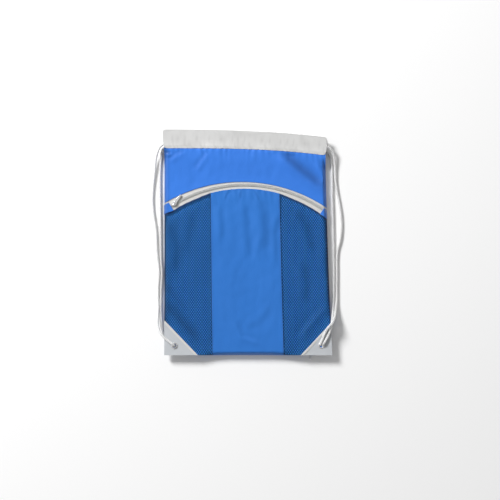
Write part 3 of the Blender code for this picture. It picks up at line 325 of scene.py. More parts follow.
def casing_top(x):
    return HALF_LENGTH - CASING_TOP_DROP * share_across(x) ** CASING_TOP_POWER


def left_edge(y):
    return LEFT_EDGE_X


def side_edge(side):
    return left_edge if side < 0 else right_edge


def ordered(side, inner, outer):
    """Two lines from left to right; the outer one is nearer to the bag's own left or right side."""
    return (outer, inner) if side < 0 else (inner, outer)


def share_line(share, offset=0.0):
    """Line up the bag at a share of its width, moved to the right by the offset."""
    return lambda y: blend(LEFT_EDGE_X, right_edge(y), share) + offset


def moved_line(line, offset):
    return lambda y: line(y) + offset


def bottom_edge(x):
    return -HALF_LENGTH


def chain_arc(x, offset):
    return CHAIN_Y + math.sqrt((CHAIN_RADIUS + offset) ** 2 - (x - CHAIN_X) ** 2)


def upper_arc(x, offset=0.0):
    return UPPER_EDGE_Y + math.sqrt((UPPER_EDGE_RADIUS + offset) ** 2 - (x - UPPER_EDGE_X) ** 2)


def pocket_top(x, offset=0.0):
    outward = ease((abs(x - CHAIN_X) - 0.060) / 0.040)
    rise = POCKET_END_RISE * ease(1.0 - (x - LEFT_EDGE_X) / POCKET_END_REACH)
    return chain_arc(x, offset + rise - blend(0.0083, 0.0105, outward))


def roll(distance, reach):
    return math.sin(math.pi / 2 * min(max(distance / reach, 0.0), 1.0))


def patch_lines():
    """Start point and inward direction of the two patches' slanting edges."""
    lines = {}
    for side, (rise, run) in PATCH_SIZES.items():
        y = rise - HALF_LENGTH
        lines[side] = (Vector((side_edge(side)(y), y)), Vector((-side * rise, run)).normalized())
    return lines


PATCH_LINES = patch_lines()


def inside_patch_line(x, y):
    place = Vector((x, y))
    return min((place - start).dot(normal) for start, normal in PATCH_LINES.values())


def lift(x, y):
    return CORNER_LIFT * ease(1.0 - inside_patch_line(x, y) / LIFT_REACH)


def lining_share(x, y):
    return 1.0 - ease((y - upper_arc(x, SEAM_ALLOWANCE)) / 0.025)


def zip_share(x, y):
    return ease((y - pocket_top(x, -0.020)) / 0.015) * lining_share(x, y)


def fill_share(x, y):
    side = roll(min(x - LEFT_EDGE_X, right_edge(y) - x), EDGE_ROLL)
    slit = ease((y - casing_seam(x) + SIDE_SLIT) / SIDE_SLIT_BLEND)
    bottom = roll(y + HALF_LENGTH, EDGE_ROLL)
    return max(side, slit) * bottom * roll(inside_patch_line(x, y), FILL_REACH)


def front_height(x, y):
    """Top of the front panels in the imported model."""
    stack = lift(x, y) + 2 * PLY + GAP + LAYER * (lining_share(x, y) + zip_share(x, y))
    rise = ease((y - MOUTH_RISE_START_Y) / (MOUTH_RISE_END_Y - MOUTH_RISE_START_Y))
    full = blend(POCKET_HEIGHT, MOUTH_HEIGHT, rise)
    return stack + (full - stack) * fill_share(x, y)


def chain_distance(x, y):
    return math.hypot(x - CHAIN_X, y - CHAIN_Y) - CHAIN_RADIUS


def metres(*lengths):
    return tuple(length / 1000 for length in lengths)


FOLDS = [
    ([metres(*point) for point in points], *metres(half_gap, softness, height), dark)
    for points, half_gap, softness, height, dark in FOLD_LINES
]


def fold_shape(x, y, points, half_gap, softness, height, dark):
    """Height and darkness of a ridge and a valley side by side along a given line."""
    nearest = None
    total = len(points) - 1
    for index, (start, end) in enumerate(zip(points, points[1:])):
        along_x = end[0] - start[0]
        along_y = end[1] - start[1]
        length = math.hypot(along_x, along_y)
        share = ((x - start[0]) * along_x + (y - start[1]) * along_y) / length ** 2
        held = min(max(share, 0.0), 1.0)
        away = math.hypot(x - start[0] - held * along_x, y - start[1] - held * along_y)
        if nearest is None or away < nearest[0]:
            side = ((y - start[1]) * along_x - (x - start[0]) * along_y) / length
            nearest = (away, side, (index + held) / total)
    away, side, share = nearest
    if away > 3 * softness + half_gap:
        return 0.0, 0.0
    side = math.copysign(away, side)
    fade = ease(share * 4.0) * ease((1.0 - share) * 4.0)
    ridge = math.exp(-((side + half_gap) / softness) ** 2)
    valley = math.exp(-((side - half_gap) / softness) ** 2)
    crease = math.exp(-((side - half_gap / 2) / softness) ** 2)
    # the second value is painted shade: how much the crease darkens the cloth's colour
    return height * fade * (ridge - valley), dark * fade * crease


def folds(x, y):
    depth = sizes().fold_depth
    return depth * sum(fold_shape(x, y, *fold)[0] for fold in FOLDS)


def crease_shade(x, y):
    """How much painted shade darkens the cloth's colour at a place, from 0 to 1: creases and the turn at the
    sides.
    """
    folded = sum(fold_shape(x, y, *fold)[1] for fold in FOLDS)
    left = ease(1.0 - (x - LEFT_EDGE_X) / EDGE_SHADE_WIDTH)
    right = ease(1.0 - (right_edge(y) - x) / EDGE_SHADE_WIDTH)
    turned = EDGE_SHADE * (left + EDGE_SHADE_RIGHT * right)
    return min(sizes().fold_depth * folded + turned, FOLD_SHADE_LIMIT)


def ripples(x, y):
    slow = noise.noise(Vector((x * 22, y * 16, 0.3)))
    quick_wave = noise.noise(Vector((x * 70, y * 48, 4.1)))
    return sizes().ripple * (1.6 * slow + 0.7 * quick_wave)


def puckers(x, y):
    """Short pleats where the cloth is gathered by a seam."""
    below_zip = pocket_top(x) - y
    below_casing = casing_seam(x) - y
    height = 0.0
    for distance, reach, pitch, seed in ((below_zip, 0.016, 0.0150, 2.0), (below_casing, 0.011, 0.0125, 7.0)):
        if 0.0 <= distance < 3 * reach:
            wander = 1.5 * noise.noise(Vector((x * 30, seed, distance * 20)))
            strength = 0.55 + 0.9 * noise.noise(Vector((x * 26, seed + 5.0, 0.0)))
            wave = math.sin(math.tau * x / pitch + 3.0 * wander)
            height += strength * wave * math.exp(-distance / reach)
    return sizes().pucker * height


def front_surface(x, y):
    """The front as it really lies, with folds, ripples and puckers."""
    free = ease((abs(chain_distance(x, y) - 0.001) - 0.007) / 0.014)
    held = fill_share(x, y)
    seam = ease((casing_seam(x) - y) / 0.010) if y > 0.15 else 1.0
    loose = folds(x, y) * seam + ripples(x, y)
    return front_height(x, y) + held * free * loose + held * puckers(x, y) * ease(
        (abs(chain_distance(x, y)) - 0.006) / 0.004)


def chest_surface(x, y):
    dip = 0.0005 * ease(1.0 - (casing_seam(x) - y) / 0.0045)
    return front_surface(x, y) - dip


def lining_surface(x, y):
    under_zip = LAYER * (1.0 + zip_share(x, y))
    closing = (y - chain_arc(x, COIL_OUTER)) / (upper_arc(x) - chain_arc(x, COIL_OUTER))
    room = 1.0 - lift(x, y) / CORNER_LIFT
    pocket = 0.0005 * fill_share(x, y) * room * (1.0 - min(max(closing, 0.0), 1.0))
    crumple = 0.0006 * noise.noise(Vector((x * 45, y * 30, 9.0))) * fill_share(x, y) * room
    return front_surface(x, y) - under_zip - pocket - abs(crumple)


def back_surface(x, y):
    """Top of the back wall, which lies on the floor and rises at the bottom corners."""
    side = roll(min(x - LEFT_EDGE_X, right_edge(y) - x), 0.03)
    wave = noise.noise(Vector((x * 18, y * 14, 12.0))) + 0.5 * noise.noise(Vector((x * 50, y * 40, 15.0)))
    return lift(x, y) + PLY + 0.0010 * max(wave, 0.0) * side


# ---- shader maths ----


class Signal:
    """A shader socket that takes part in sums; an expression on signals adds its Math nodes."""

    def __init__(self, tree, socket=None):
        self.tree = tree
        self.socket = socket

    def node(self, kind, settings, inputs, output=0):
        """Adds a node, with its settings first and then values or signals on its sockets."""
        made = self.tree.nodes.new(kind)
        for key, value in settings.items():
            setattr(made, key, value)
        for key, value in inputs.items():
            if isinstance(value, Signal):
                self.tree.links.new(value.socket, made.inputs[key])
            else:
                made.inputs[key].default_value = value
        return Signal(self.tree, made.outputs[output])

    def axes(self, place):
        return [self.node("ShaderNodeSeparateXYZ", {}, {"Vector": place}, axis) for axis in ("X", "Y", "Z")]

    def math(self, operation, *values):
        return self.node("ShaderNodeMath", {"operation": operation}, dict(enumerate(values)))

    def __add__(self, other):
        return self.math("ADD", self, other)

    def __mul__(self, other):
        return self.math("MULTIPLY", self, other)

    def __sub__(self, other):
        return self.math("SUBTRACT", self, other)

    def sine(self):
        return self.math("SINE", self)


class Finish:
    """A material being made: its shader, its coordinates and the shared cloth detail."""

    def __init__(self, name, roughness, metallic=0.0, sheen=0.0, specular=0.5):
        self.material = bpy.data.materials.new(name)
        self.material.use_nodes = True
        self.tree = self.material.node_tree
        self.shader = self.tree.nodes["Principled BSDF"]
        self.set("Roughness", roughness)
        self.set("Metallic", metallic)
        self.set("Sheen Weight", sheen)
        self.set("Sheen Roughness", 0.5)
        self.set("Specular IOR Level", specular)
        self.root = Signal(self.tree)

    def set(self, socket, value):
        self.shader.inputs[socket].default_value = value

    def place(self):
        return self.root.node("ShaderNodeTexCoord", {}, {}, "Object")

    def uv(self):
        return self.root.node("ShaderNodeTexCoord", {}, {}, "UV")

    def axes(self, place):
        return self.root.axes(place)

    def noise(self, place, scale, detail=2.0):
        return self.root.node(
            "ShaderNodeTexNoise", {}, {"Vector": place, "Scale": scale, "Detail": detail}, "Fac")

    def mix(self, factor, low, high):
        """Colour mix; a Mix node's colour inputs are its sockets 6 and 7, its colour output is 2."""
        return self.root.node("ShaderNodeMix", {"data_type": "RGBA"}, {0: factor, 6: low, 7: high}, 2)

    def tint(self, factor, low, high):
        """Colour that goes from low to high with the factor."""
        return self.mix(factor, (*low, 1.0), (*high, 1.0))

    def colour(self, factor, low, high):
        """Base colour from low to high with the factor, darker where the piece stores painted shade."""
        tone = self.tint(factor, low, high)
        shaded = self.root.node("ShaderNodeAttribute", {"attribute_name": "shade"}, {}, "Fac")
        self.feed("Base Color", self.mix(shaded, tone, (*shade(low, 0.15), 1.0)))

    def bump(self, height, distance, strength=1.0, under=None):
        inputs = {"Height": height, "Distance": distance, "Strength": strength}
        if under is not None:
            inputs["Normal"] = under
        return self.root.node("ShaderNodeBump", {}, inputs)

    def feed(self, socket, signal):
        self.tree.links.new(signal.socket, self.shader.inputs[socket])


def shade(colour, factor):
    return tuple(min(channel * factor, 1.0) for channel in colour)


def woven(name, colour, pitch=0.00045, roughness=0.55, sheen=0.15, wrinkle=0.00035, variation=0.10):
    """Plain weave cloth: crossing threads, fine creases, uneven dye and lighter rubbed spots."""
    finish = Finish(name, roughness, sheen=sheen, specular=0.35)
    place = finish.place()
    x, y, _ = finish.axes(place)
    warp = (x * (math.tau / pitch)).sine()
    weft = (y * (math.tau / pitch)).sine()
    weave = warp * weft * 0.5 + 0.5
    creases = finish.noise(place, 85.0, 3.0)
    slubs = finish.noise(place, 900.0, 1.0)
    clouds = finish.noise(place, 14.0, 2.0)
    tone = clouds * 0.55 + slubs * 0.30 + weave * 0.15
    finish.colour(tone, shade(colour, 1.0 - variation), shade(colour, 1.0 + variation))
    rough = creases * 0.12 + (roughness - 0.06)
    finish.feed("Roughness", rough)
    soft = finish.bump(creases, wrinkle, 0.8)
    finish.feed("Normal", finish.bump(weave, 0.00008, 0.5, soft))
    return finish.material


def net_yarn(name, colour):
    """Knitted net: fine loops along the strands."""
    finish = Finish(name, 0.65, specular=0.2)
    place = finish.place()
    x, y, _ = finish.axes(place)
    loops = ((x + y) * (math.tau / 0.0006)).sine() * ((x - y) * (math.tau / 0.0006)).sine() * 0.5 + 0.5
    clouds = finish.noise(place, 18.0, 2.0)
    tone = loops * 0.5 + clouds * 0.5
    finish.colour(tone, shade(colour, 0.78), shade(colour, 1.25))
    finish.feed("Roughness", loops * 0.1 + 0.6)
    finish.feed("Normal", finish.bump(loops, 0.0001, 0.6))
    return finish.material


def braided(name, colour):
    """Round braid: two families of strands that cross, read along the cord's own UV."""
    finish = Finish(name, 0.75, sheen=0.3, specular=0.25)
    finish.set("Subsurface Weight", 1.0)
    finish.set("Subsurface Radius", (0.010, 0.010, 0.010))
    finish.set("Subsurface Scale", 1.0)
    u, v, _ = finish.axes(finish.uv())
    right_hand = (u * (8 * math.pi) + v * math.tau).sine()
    left_hand = (u * (8 * math.pi) - v * math.tau).sine()
    braid = (right_hand * left_hand) * 0.5 + 0.5
    strands = ((u * (40 * math.pi) + v * (5 * math.tau)).sine()) * 0.5 + 0.5
    grime = finish.noise(finish.place(), 60.0, 2.0)
    tone = braid * 0.6 + grime * 0.25 + strands * 0.15
    finish.feed("Base Color", finish.tint(tone, shade(colour, 0.80), shade(colour, 1.05)))
    finish.feed("Roughness", braid * -0.1 + 0.82)
    fibres = finish.bump(strands, 0.00008, 0.4)
    finish.feed("Normal", finish.bump(braid, 0.0006, 0.9, fibres))
    return finish.material


def moulded(name, colour):
    """Nylon coil: satin, with slight unevenness."""
    finish = Finish(name, 0.38)
    place = finish.place()
    grain = finish.noise(place, 500.0, 2.0)
    finish.feed("Base Color", finish.tint(grain, shade(colour, 0.9), shade(colour, 1.1)))
    finish.feed("Roughness", grain * 0.15 + 0.30)
    finish.feed("Normal", finish.bump(grain, 0.00005, 0.4))
    return finish.material


def plated(name, colour, roughness=0.28):
    """Plated metal with fine scratches and handling marks."""
    finish = Finish(name, roughness, metallic=1.0)
    place = finish.place()
    marks = finish.noise(place, 260.0, 4.0)
    x, y, _ = finish.axes(place)
    brushed = finish.root.node("ShaderNodeCombineXYZ", {}, {0: x * 12.0, 1: y * 1.0, 2: 0.0})
    scratches = finish.noise(brushed, 700.0, 2.0)
    finish.feed("Base Color", finish.tint(marks, shade(colour, 0.82), shade(colour, 1.12)))
    finish.feed("Roughness", marks * 0.22 + (roughness - 0.11))
    finish.feed("Normal", finish.bump(scratches, 0.00003, 0.35))
    return finish.material


def sewn_thread(name, colour):
    """Twisted sewing thread."""
    finish = Finish(name, 0.6, sheen=0.3, specular=0.3)
    place = finish.place()
    x, y, _ = finish.axes(place)
    twist = ((x + y) * (math.tau / 0.0005)).sine() * 0.5 + 0.5
    finish.feed("Base Color", finish.tint(twist, shade(colour, 0.85), shade(colour, 1.15)))
    finish.feed("Normal", finish.bump(twist, 0.00006, 0.5))
    return finish.material


# ---- modelling helpers ----


def deselect_all():
    if bpy.context.object and bpy.context.object.mode != "OBJECT":
        bpy.ops.object.mode_set(mode="OBJECT")
    bpy.ops.object.select_all(action="DESELECT")


def take(piece):
    deselect_all()
    piece.select_set(True)
    bpy.context.view_layer.objects.active = piece


def apply_modifier(piece, kind, **settings):
    take(piece)
    modifier = piece.modifiers.new(kind.lower(), kind)
    for key, value in settings.items():
        setattr(modifier, key, value)
    bpy.ops.object.modifier_apply(modifier=modifier.name)


def open_mesh(piece):
    """Opens a piece in edit mode with the selection that it has."""
    take(piece)
    bpy.ops.object.mode_set(mode="EDIT")


def open_whole(piece):
    """Opens a piece in edit mode with all of it selected."""
    open_mesh(piece)
    bpy.ops.mesh.select_all(action="SELECT")


def close_mesh():
    bpy.ops.object.mode_set(mode="OBJECT")


def select_faces(mesh, chosen):
    """Selects the faces for which chosen(face) is true and nothing else."""
    for item in (*mesh.vertices, *mesh.edges):
        item.select = False
    for polygon in mesh.polygons:
        polygon.select = chosen(polygon)


def face_outward(piece):
    open_whole(piece)
    bpy.ops.mesh.remove_doubles(threshold=0.000001)
    bpy.ops.mesh.normals_make_consistent(inside=False)
    close_mesh()


def finish_piece(piece, material, slot, body, *nodes):
    piece.data.materials.clear()
    piece.data.materials.append(material)
    take(piece)
    bpy.ops.object.shade_smooth_by_angle(angle=math.radians(50))
    if nodes:
        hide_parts(*nodes)
    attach(piece, body)
    return piece


def store_shade(piece, values):
    """Keeps the painted shade of creases and side turns on the piece's vertices, for its material to darken
    its colour.
    """
    layer = piece.data.attributes.new("shade", "FLOAT", "POINT")
    layer.data.foreach_set("value", values)


def flat_grid(name, columns, rows):
    deselect_all()
    bpy.ops.mesh.primitive_grid_add(x_subdivisions=columns, y_subdivisions=rows, size=1.0)
    piece = bpy.context.object
    piece.name = name
    piece.data.name = name
    return piece


def thicken(piece, thickness):
    """Gives a sheet its thickness, below the surface that it has."""
    apply_modifier(piece, "SOLIDIFY", thickness=thickness, offset=-1.0)


def store_crease_shade(piece):
    store_shade(piece, [crease_shade(vertex.co.x, vertex.co.y) for vertex in piece.data.vertices])


def cloth(name, columns, rows, place, thickness=CLOTH, paint_crease_shade=True):
    """A sheet laid by place(u, v), given its thickness below."""
    piece = flat_grid(name, columns, rows)
    for vertex in piece.data.vertices:
        vertex.co = place(vertex.co.x + 0.5, vertex.co.y + 0.5)
    # stores the painted shade of creases and side turns for the material's colour
    if paint_crease_shade:
        store_crease_shade(piece)
    thicken(piece, thickness)
    return piece


def panel_place(left_side, right_side, low, high, surface, level=0.0):
    """Lays u across between two side curves and v between two curves along the bag."""
    def place(u, v):
        y = blend(low(0.0), high(0.0), v)
        x = 0.0
        for _ in range(3):
            x = blend(left_side(y), right_side(y), u)
            y = blend(low(x), high(x), v)
        return x, y, surface(x, y) + level
    return place


def open_hole(piece, place):
    """Takes out the faces round a grommet's hole and draws the rest to its rim."""
    mesh = piece.data
    centre = Vector(place)

    def within(polygon):
        corners = [mesh.vertices[index].co.xy for index in polygon.vertices]
        return all((corner - centre).length < GROMMET_HOLE for corner in corners)

    select_faces(mesh, within)
    open_mesh(piece)
    bpy.ops.mesh.select_mode(type="FACE")
    bpy.ops.mesh.delete(type="FACE")
    close_mesh()
    for vertex in mesh.vertices:
        out = vertex.co.xy - centre
        if out.length < GROMMET_HOLE:
            vertex.co.xy = centre + out.normalized() * GROMMET_HOLE


def scatter(name, template, places):
    """One mesh of many copies of a template, each put by a matrix."""
    points = [vertex.co.copy() for vertex in template.data.vertices]
    faces = [tuple(polygon.vertices) for polygon in template.data.polygons]
    all_points = []
    all_faces = []
    for matrix in places:
        start = len(all_points)
        all_points.extend((matrix @ point)[:] for point in points)
        all_faces.extend(tuple(index + start for index in face) for face in faces)
    mesh = bpy.data.meshes.new(name)
    mesh.from_pydata(all_points, [], all_faces)
    piece = bpy.data.objects.new(name, mesh)
    bpy.context.scene.collection.objects.link(piece)
    bpy.data.objects.remove(template)
    return piece


def surface_frame(x, y, surface, level, heading):
    """Matrix at a point of a surface: X along the heading, Z out of the surface."""
    step = 0.0008
    here = Vector((x, y, surface(x, y)))
    along_x = Vector((x + step, y, surface(x + step, y))) - here
    along_y = Vector((x, y + step, surface(x, y + step))) - here
    up = along_x.cross(along_y).normalized()
    forward = Vector((math.cos(heading), math.sin(heading), 0.0))
    forward = (forward - up * forward.dot(up)).normalized()
    side = up.cross(forward)
    matrix = Matrix((forward, side, up)).transposed().to_4x4()
    matrix.translation = here + up * level
    return matrix


def stitch_template():
    """One stitch: a short thread whose ends dive into the cloth."""
    length = sizes().stitch
    radius = sizes().thread / 2
    deselect_all()
    bpy.ops.mesh.primitive_cylinder_add(vertices=6, radius=radius, depth=length * 0.6,
                                        rotation=(0.0, math.pi / 2, 0.0), end_fill_type="NGON")
    piece = bpy.context.object
    bpy.ops.object.transform_apply(location=True, rotation=True, scale=True)
    for side in (-1, 1):
        select_faces(piece.data, lambda polygon: polygon.normal.x * side > 0.9)
        open_mesh(piece)
        bpy.ops.mesh.select_mode(type="FACE")
        bpy.ops.mesh.extrude_region_move(
            TRANSFORM_OT_translate={"value": (side * length * 0.2, 0.0, -radius * 1.2)})
        bpy.ops.transform.resize(
            value=(0.6, 0.6, 0.6), center_override=(side * length / 2, 0.0, -radius * 1.2))
        close_mesh()
    return piece


def walk(curve, spacing):
    """Points at even spacing along a polyline of (x, y), each with its heading."""
    places = []
    left_over = spacing / 2
    for start, end in zip(curve, curve[1:]):
        length = math.hypot(end[0] - start[0], end[1] - start[1])
        heading = math.atan2(end[1] - start[1], end[0] - start[0])
        travelled = left_over
        while travelled < length:
            share = travelled / length
            places.append((blend(start[0], end[0], share), blend(start[1], end[1], share), heading))
            travelled += spacing
        left_over = travelled - length
    return places


def sew(name, seams, thread, slot):
    """Rows of stitches; each seam is its points, its surface and its height over it."""
    spacing = sizes().stitch + sizes().stitch_gap
    places = []
    for points, surface, level in seams:
        for x, y, heading in walk(points, spacing):
            places.append(surface_frame(x, y, surface, level + sizes().thread * 0.2, heading))
    piece = scatter(name, stitch_template(), places)
    face_outward(piece)
    return finish_piece(piece, thread, slot, "bag")


def spaced(count, start, end):
    return [blend(start, end, i / count) for i in range(count + 1)]


# ---- cords ----


def route_point(x, y, z=2.6, squeeze=1.0):
    """A point of a cord in metres, with its share of full thickness; by default it lies on the floor."""
    return Vector((*metres(x, y, z), squeeze))


def smooth_route(route):
    """Points about a millimetre apart on a centripetal spline through the route's own points."""
    points = [route_point(*point) for point in route]
    ends = [2 * points[0] - points[1]] + points + [2 * points[-1] - points[-2]]
    smooth = []
    for before, start, end, after in zip(ends, ends[1:], ends[2:], ends[3:]):
        steps = max(2, round((end - start).length / 0.001))
        knots = [0.0]
        for a, b in ((before, start), (start, end), (end, after)):
            knots.append(knots[-1] + max((b.xyz - a.xyz).length, 1e-6) ** 0.5)
        for i in range(steps):
            t = blend(knots[1], knots[2], i / steps)
            a1 = before.lerp(start, (t - knots[0]) / (knots[1] - knots[0]))
            a2 = start.lerp(end, (t - knots[1]) / (knots[2] - knots[1]))
            a3 = end.lerp(after, (t - knots[2]) / (knots[3] - knots[2]))
            b1 = a1.lerp(a2, (t - knots[0]) / (knots[2] - knots[0]))
            b2 = a2.lerp(a3, (t - knots[1]) / (knots[3] - knots[1]))
            smooth.append(b1.lerp(b2, (t - knots[1]) / (knots[2] - knots[1])))
    return smooth + [points[-1]]


def tube(name, path, radius, sides=16, braid_pitch=0.0055):
    """A closed round tube along a path, with UV that runs round it and along it in braid pitches."""
    bm = bmesh.new()
    layer = bm.loops.layers.uv.new("braid")
    rings = []
    travelled = []
    direction = (path[1].xyz - path[0].xyz).normalized()
    side = direction.orthogonal().normalized()
    run = 0.0
    for index, point in enumerate(path):
        ahead = path[min(index + 1, len(path) - 1)].xyz - path[max(index - 1, 0)].xyz
        direction = ahead.normalized()
        side = (side - direction * side.dot(direction)).normalized()
        other = direction.cross(side)
        thick = radius * point.w * (1.0 + 0.03 * noise.noise(Vector((run * 120, 3.0, 1.0))))
        ring = []
        for i in range(sides):
            angle = math.tau * i / sides
            ring.append(bm.verts.new(point.xyz + thick * (math.cos(angle) * side + math.sin(angle) * other)))
        rings.append(ring)
        travelled.append(run / braid_pitch)
        if index + 1 < len(path):
            run += (path[index + 1].xyz - point.xyz).length
    for index, (ring, following) in enumerate(zip(rings, rings[1:])):
        for i in range(sides):
            j = (i + 1) % sides
            face = bm.faces.new((ring[i], ring[j], following[j], following[i]))
            corners = ((i, index), (i + 1, index), (i + 1, index + 1), (i, index + 1))
            for loop, (around, step) in zip(face.loops, corners):
                loop[layer].uv = (around / sides, travelled[step])
    bm.faces.new(list(reversed(rings[0])))
    bm.faces.new(rings[-1])
    mesh = bpy.data.meshes.new(name)
    bm.to_mesh(mesh)
    bm.free()
    piece = bpy.data.objects.new(name, mesh)
    bpy.context.scene.collection.objects.link(piece)
    return piece


def path_length(path):
    return sum((b.xyz - a.xyz).length for a, b in zip(path, path[1:]))


def declare_cord(path):
    points = [tuple(point.xyz) for point in path]
    path_length(path)


def knot_path(centre, low, high):
    """A tight overhand knot as a closed three-lobed line, squashed between two heights."""
    steps = 72
    middle = (low + high) / 2
    rise = (high - low) / 2
    path = []
    for i in range(steps + 1):
        t = math.tau * i / steps
        x = (math.sin(t) + 2 * math.sin(2 * t)) / 3
        y = (math.cos(t) - 2 * math.cos(2 * t)) / 3
        z = -math.sin(3 * t)
        place = (centre[0] + KNOT_RADIUS * x, centre[1] + KNOT_RADIUS * y, middle + rise * z)
        path.append(Vector((*place, 1.0)))
    return path


def make_knot(name, centre, material, node, tail=None):
    path = knot_path(centre, KNOT_LOW, KNOT_HIGH)
    knot = tube(name, path, KNOT_CORD_RADIUS, sides=12, braid_pitch=0.005)
    face_outward(knot)
    if tail:
        end = tube(name + "_tail", smooth_route(tail), CORD_RADIUS, sides=14)
        take(knot)
        end.select_set(True)
        bpy.ops.object.join()
    return finish_piece(knot, material, "white_cord", "bag", node)


class BACKPACK_OT_drawcords(bpy.types.Operator):
    """Lay the two braided drawcords and tie their knots"""
    bl_idname = "backpack.drawcords"
    bl_label = "Drawcords and knots"

    def execute(self, context):
        braid = braided("braided_cord", colours().cord)
        routes = (
            ("left", DRAWCORD_LEFT_ROUTE, GROMMET_LEFT, None),
            ("right", DRAWCORD_RIGHT_ROUTE, GROMMET_RIGHT, KNOT_TAIL_ROUTE),
        )
        for side, route, grommet, tail in routes:
            path = smooth_route(route)[::2]
            cord = tube(f"cord_{side}", path, CORD_RADIUS)
            finish_piece(cord, braid, "white_cord", "bag", f"drawcord_{side}")
            knot = make_knot(f"knot_{side}", grommet, braid, f"cord_knot_{side}", tail)
            declare_cord(path)
        return {"FINISHED"}


# ---- cloth pieces ----


def grid_count(length):
    return max(4, round(length / sizes().mesh_step))


class BACKPACK_OT_back_wall(bpy.types.Operator):
    """Cut and lay the back wall"""
    bl_idname = "backpack.back_wall"
    bl_label = "Back wall"

    def execute(self, context):
        nylon = woven("back_nylon", colours().nylon)
        place = panel_place(left_edge, right_edge, bottom_edge, casing_seam, back_surface)
        piece = cloth("back_cloth", grid_count(0.34) // 2, grid_count(0.41) // 2, place, paint_crease_shade=False)
        open_hole(piece, GROMMET_LEFT)
        open_hole(piece, GROMMET_RIGHT)
        finish_piece(piece, nylon, "blue_nylon", "bag", "back_panel")
        return {"FINISHED"}


class BACKPACK_OT_front_panels(bpy.types.Operator):
    """Cut and lay the upper front panel, the pocket's middle panel and its lining"""
    bl_idname = "backpack.front_panels"
    bl_label = "Front panels and lining"

    def execute(self, context):
        nylon = woven("front_nylon", colours().nylon)
        pocket = woven("pocket_nylon", colours().pocket)
        lining = woven("lining_nylon", colours().lining, roughness=0.65)
        chest = panel_place(
            left_edge, right_edge, lambda x: upper_arc(x, CHEST_OVER_TAPE),
            lambda x: casing_seam(x) + CHEST_UNDER_CASING, chest_surface)
        piece = cloth("upper_front_cloth", grid_count(0.33), grid_count(0.115), chest)
        finish_piece(piece, nylon, "blue_nylon", "bag", "upper_front_panel")
        centre = panel_place(
            share_line(SEAM_LEFT_SHARE, -SEAM_OVERLAP), share_line(SEAM_RIGHT_SHARE, SEAM_OVERLAP),
            bottom_edge, pocket_top, front_surface, CENTRE_LEVEL)
        piece = cloth("pocket_centre_cloth", grid_count(0.14), grid_count(0.34), centre, THICK_CLOTH)
        finish_piece(piece, pocket, "blue_nylon", "bag", "pocket_centre_panel")
        behind = panel_place(
            moved_line(left_edge, LINING_INSET), moved_line(right_edge, -LINING_INSET), bottom_edge,
            lambda x: upper_arc(x, SEAM_ALLOWANCE), lining_surface, -LINING_DROP)
        piece = cloth("lining_cloth", grid_count(0.34) // 2, grid_count(0.35) // 2, behind)
        open_hole(piece, GROMMET_LEFT)
        open_hole(piece, GROMMET_RIGHT)
        finish_piece(piece, lining, "deep_blue_nylon", "bag", "pocket_lining")
        return {"FINISHED"}


def lattice(name, columns, rows, pitch, pitch_along):
    """A flat net of strands with oval holes, centred on the origin."""
    piece = flat_grid(name, columns, rows)
    mesh = piece.data
    half = (columns * pitch / 2, rows * pitch_along / 2)
    for vertex in mesh.vertices:
        vertex.co.x *= columns * pitch
        vertex.co.y *= rows * pitch_along
    open_whole(piece)
    bpy.ops.mesh.poke()
    close_mesh()
    for item in (*mesh.polygons, *mesh.vertices):
        item.select = False
    for edge in mesh.edges:
        start, end = [mesh.vertices[index].co for index in edge.vertices]
        straight = min(abs(start.x - end.x), abs(start.y - end.y)) < pitch * 0.1
        middle = (start + end) / 2
        on_rim = max(abs(middle.x) / half[0], abs(middle.y) / half[1]) > 0.9999
        edge.select = straight and not on_rim
    open_mesh(piece)
    bpy.ops.mesh.select_mode(type="EDGE")
    bpy.ops.mesh.dissolve_edges(use_verts=False)
    bpy.ops.mesh.select_mode(type="FACE")
    close_mesh()
    select_faces(mesh, lambda polygon: len(polygon.vertices) == 4)
    open_mesh(piece)
    bpy.ops.mesh.inset(thickness=sizes().net_strand, use_individual=True)
    bpy.ops.mesh.delete(type="ONLY_FACE")
    close_mesh()
    apply_modifier(piece, "SUBSURF", levels=1, render_levels=1)
    return piece


def make_net(name, side, left_side, right_side, material, node):
    """A net with straight grain, cut to its panel and under its corner patch."""
    pitch = sizes().net_pitch
    pitch_along = sizes().net_pitch_along
    low = min(left_side(-HALF_LENGTH), left_side(HALF_LENGTH))
    high = max(right_side(-HALF_LENGTH), right_side(HALF_LENGTH))
    columns = math.ceil((high - low) / pitch)
    rows = math.ceil((max(pocket_top(low), pocket_top(high)) + HALF_LENGTH) / pitch_along)
    piece = lattice(name, columns, rows, pitch, pitch_along)
    mesh = piece.data
    for vertex in mesh.vertices:
        vertex.co.x += low + columns * pitch / 2
        vertex.co.y += rows * pitch_along / 2 - HALF_LENGTH
    start, normal = PATCH_LINES[side]
    under = start - normal * NET_UNDER_PATCH
    open_whole(piece)
    bpy.ops.mesh.bisect(plane_co=(*under, 0.0), plane_no=(*normal, 0.0), clear_inner=True)
    close_mesh()

    def outside(polygon):
        x, y = polygon.center.xy
        return y > pocket_top(x) or not left_side(y) < x < right_side(y)

    select_faces(mesh, outside)
    open_mesh(piece)
    bpy.ops.mesh.delete(type="FACE")
    close_mesh()
    for vertex in mesh.vertices:
        vertex.co.x = min(max(vertex.co.x, left_side(vertex.co.y)), right_side(vertex.co.y))
        vertex.co.y = min(vertex.co.y, pocket_top(vertex.co.x))
        vertex.co.z = front_surface(vertex.co.x, vertex.co.y)
    store_crease_shade(piece)
    thicken(piece, NET_CLOTH)
    return finish_piece(piece, material, "blue_mesh", "bag", node)


# A real seam binding strip; its dark colour is partly painted shadow along the seam
def shadowed_binding_strip(name, left_side, right_side, low, high, level, material):
    place = panel_place(left_side, right_side, low, high, front_surface, level)
    width = right_side(0.0) - left_side(0.0)
    length = high(0.0) - low(0.0)
    piece = cloth(name, grid_count(width), grid_count(length), place)
    return finish_piece(piece, material, "deep_blue_nylon", "bag")


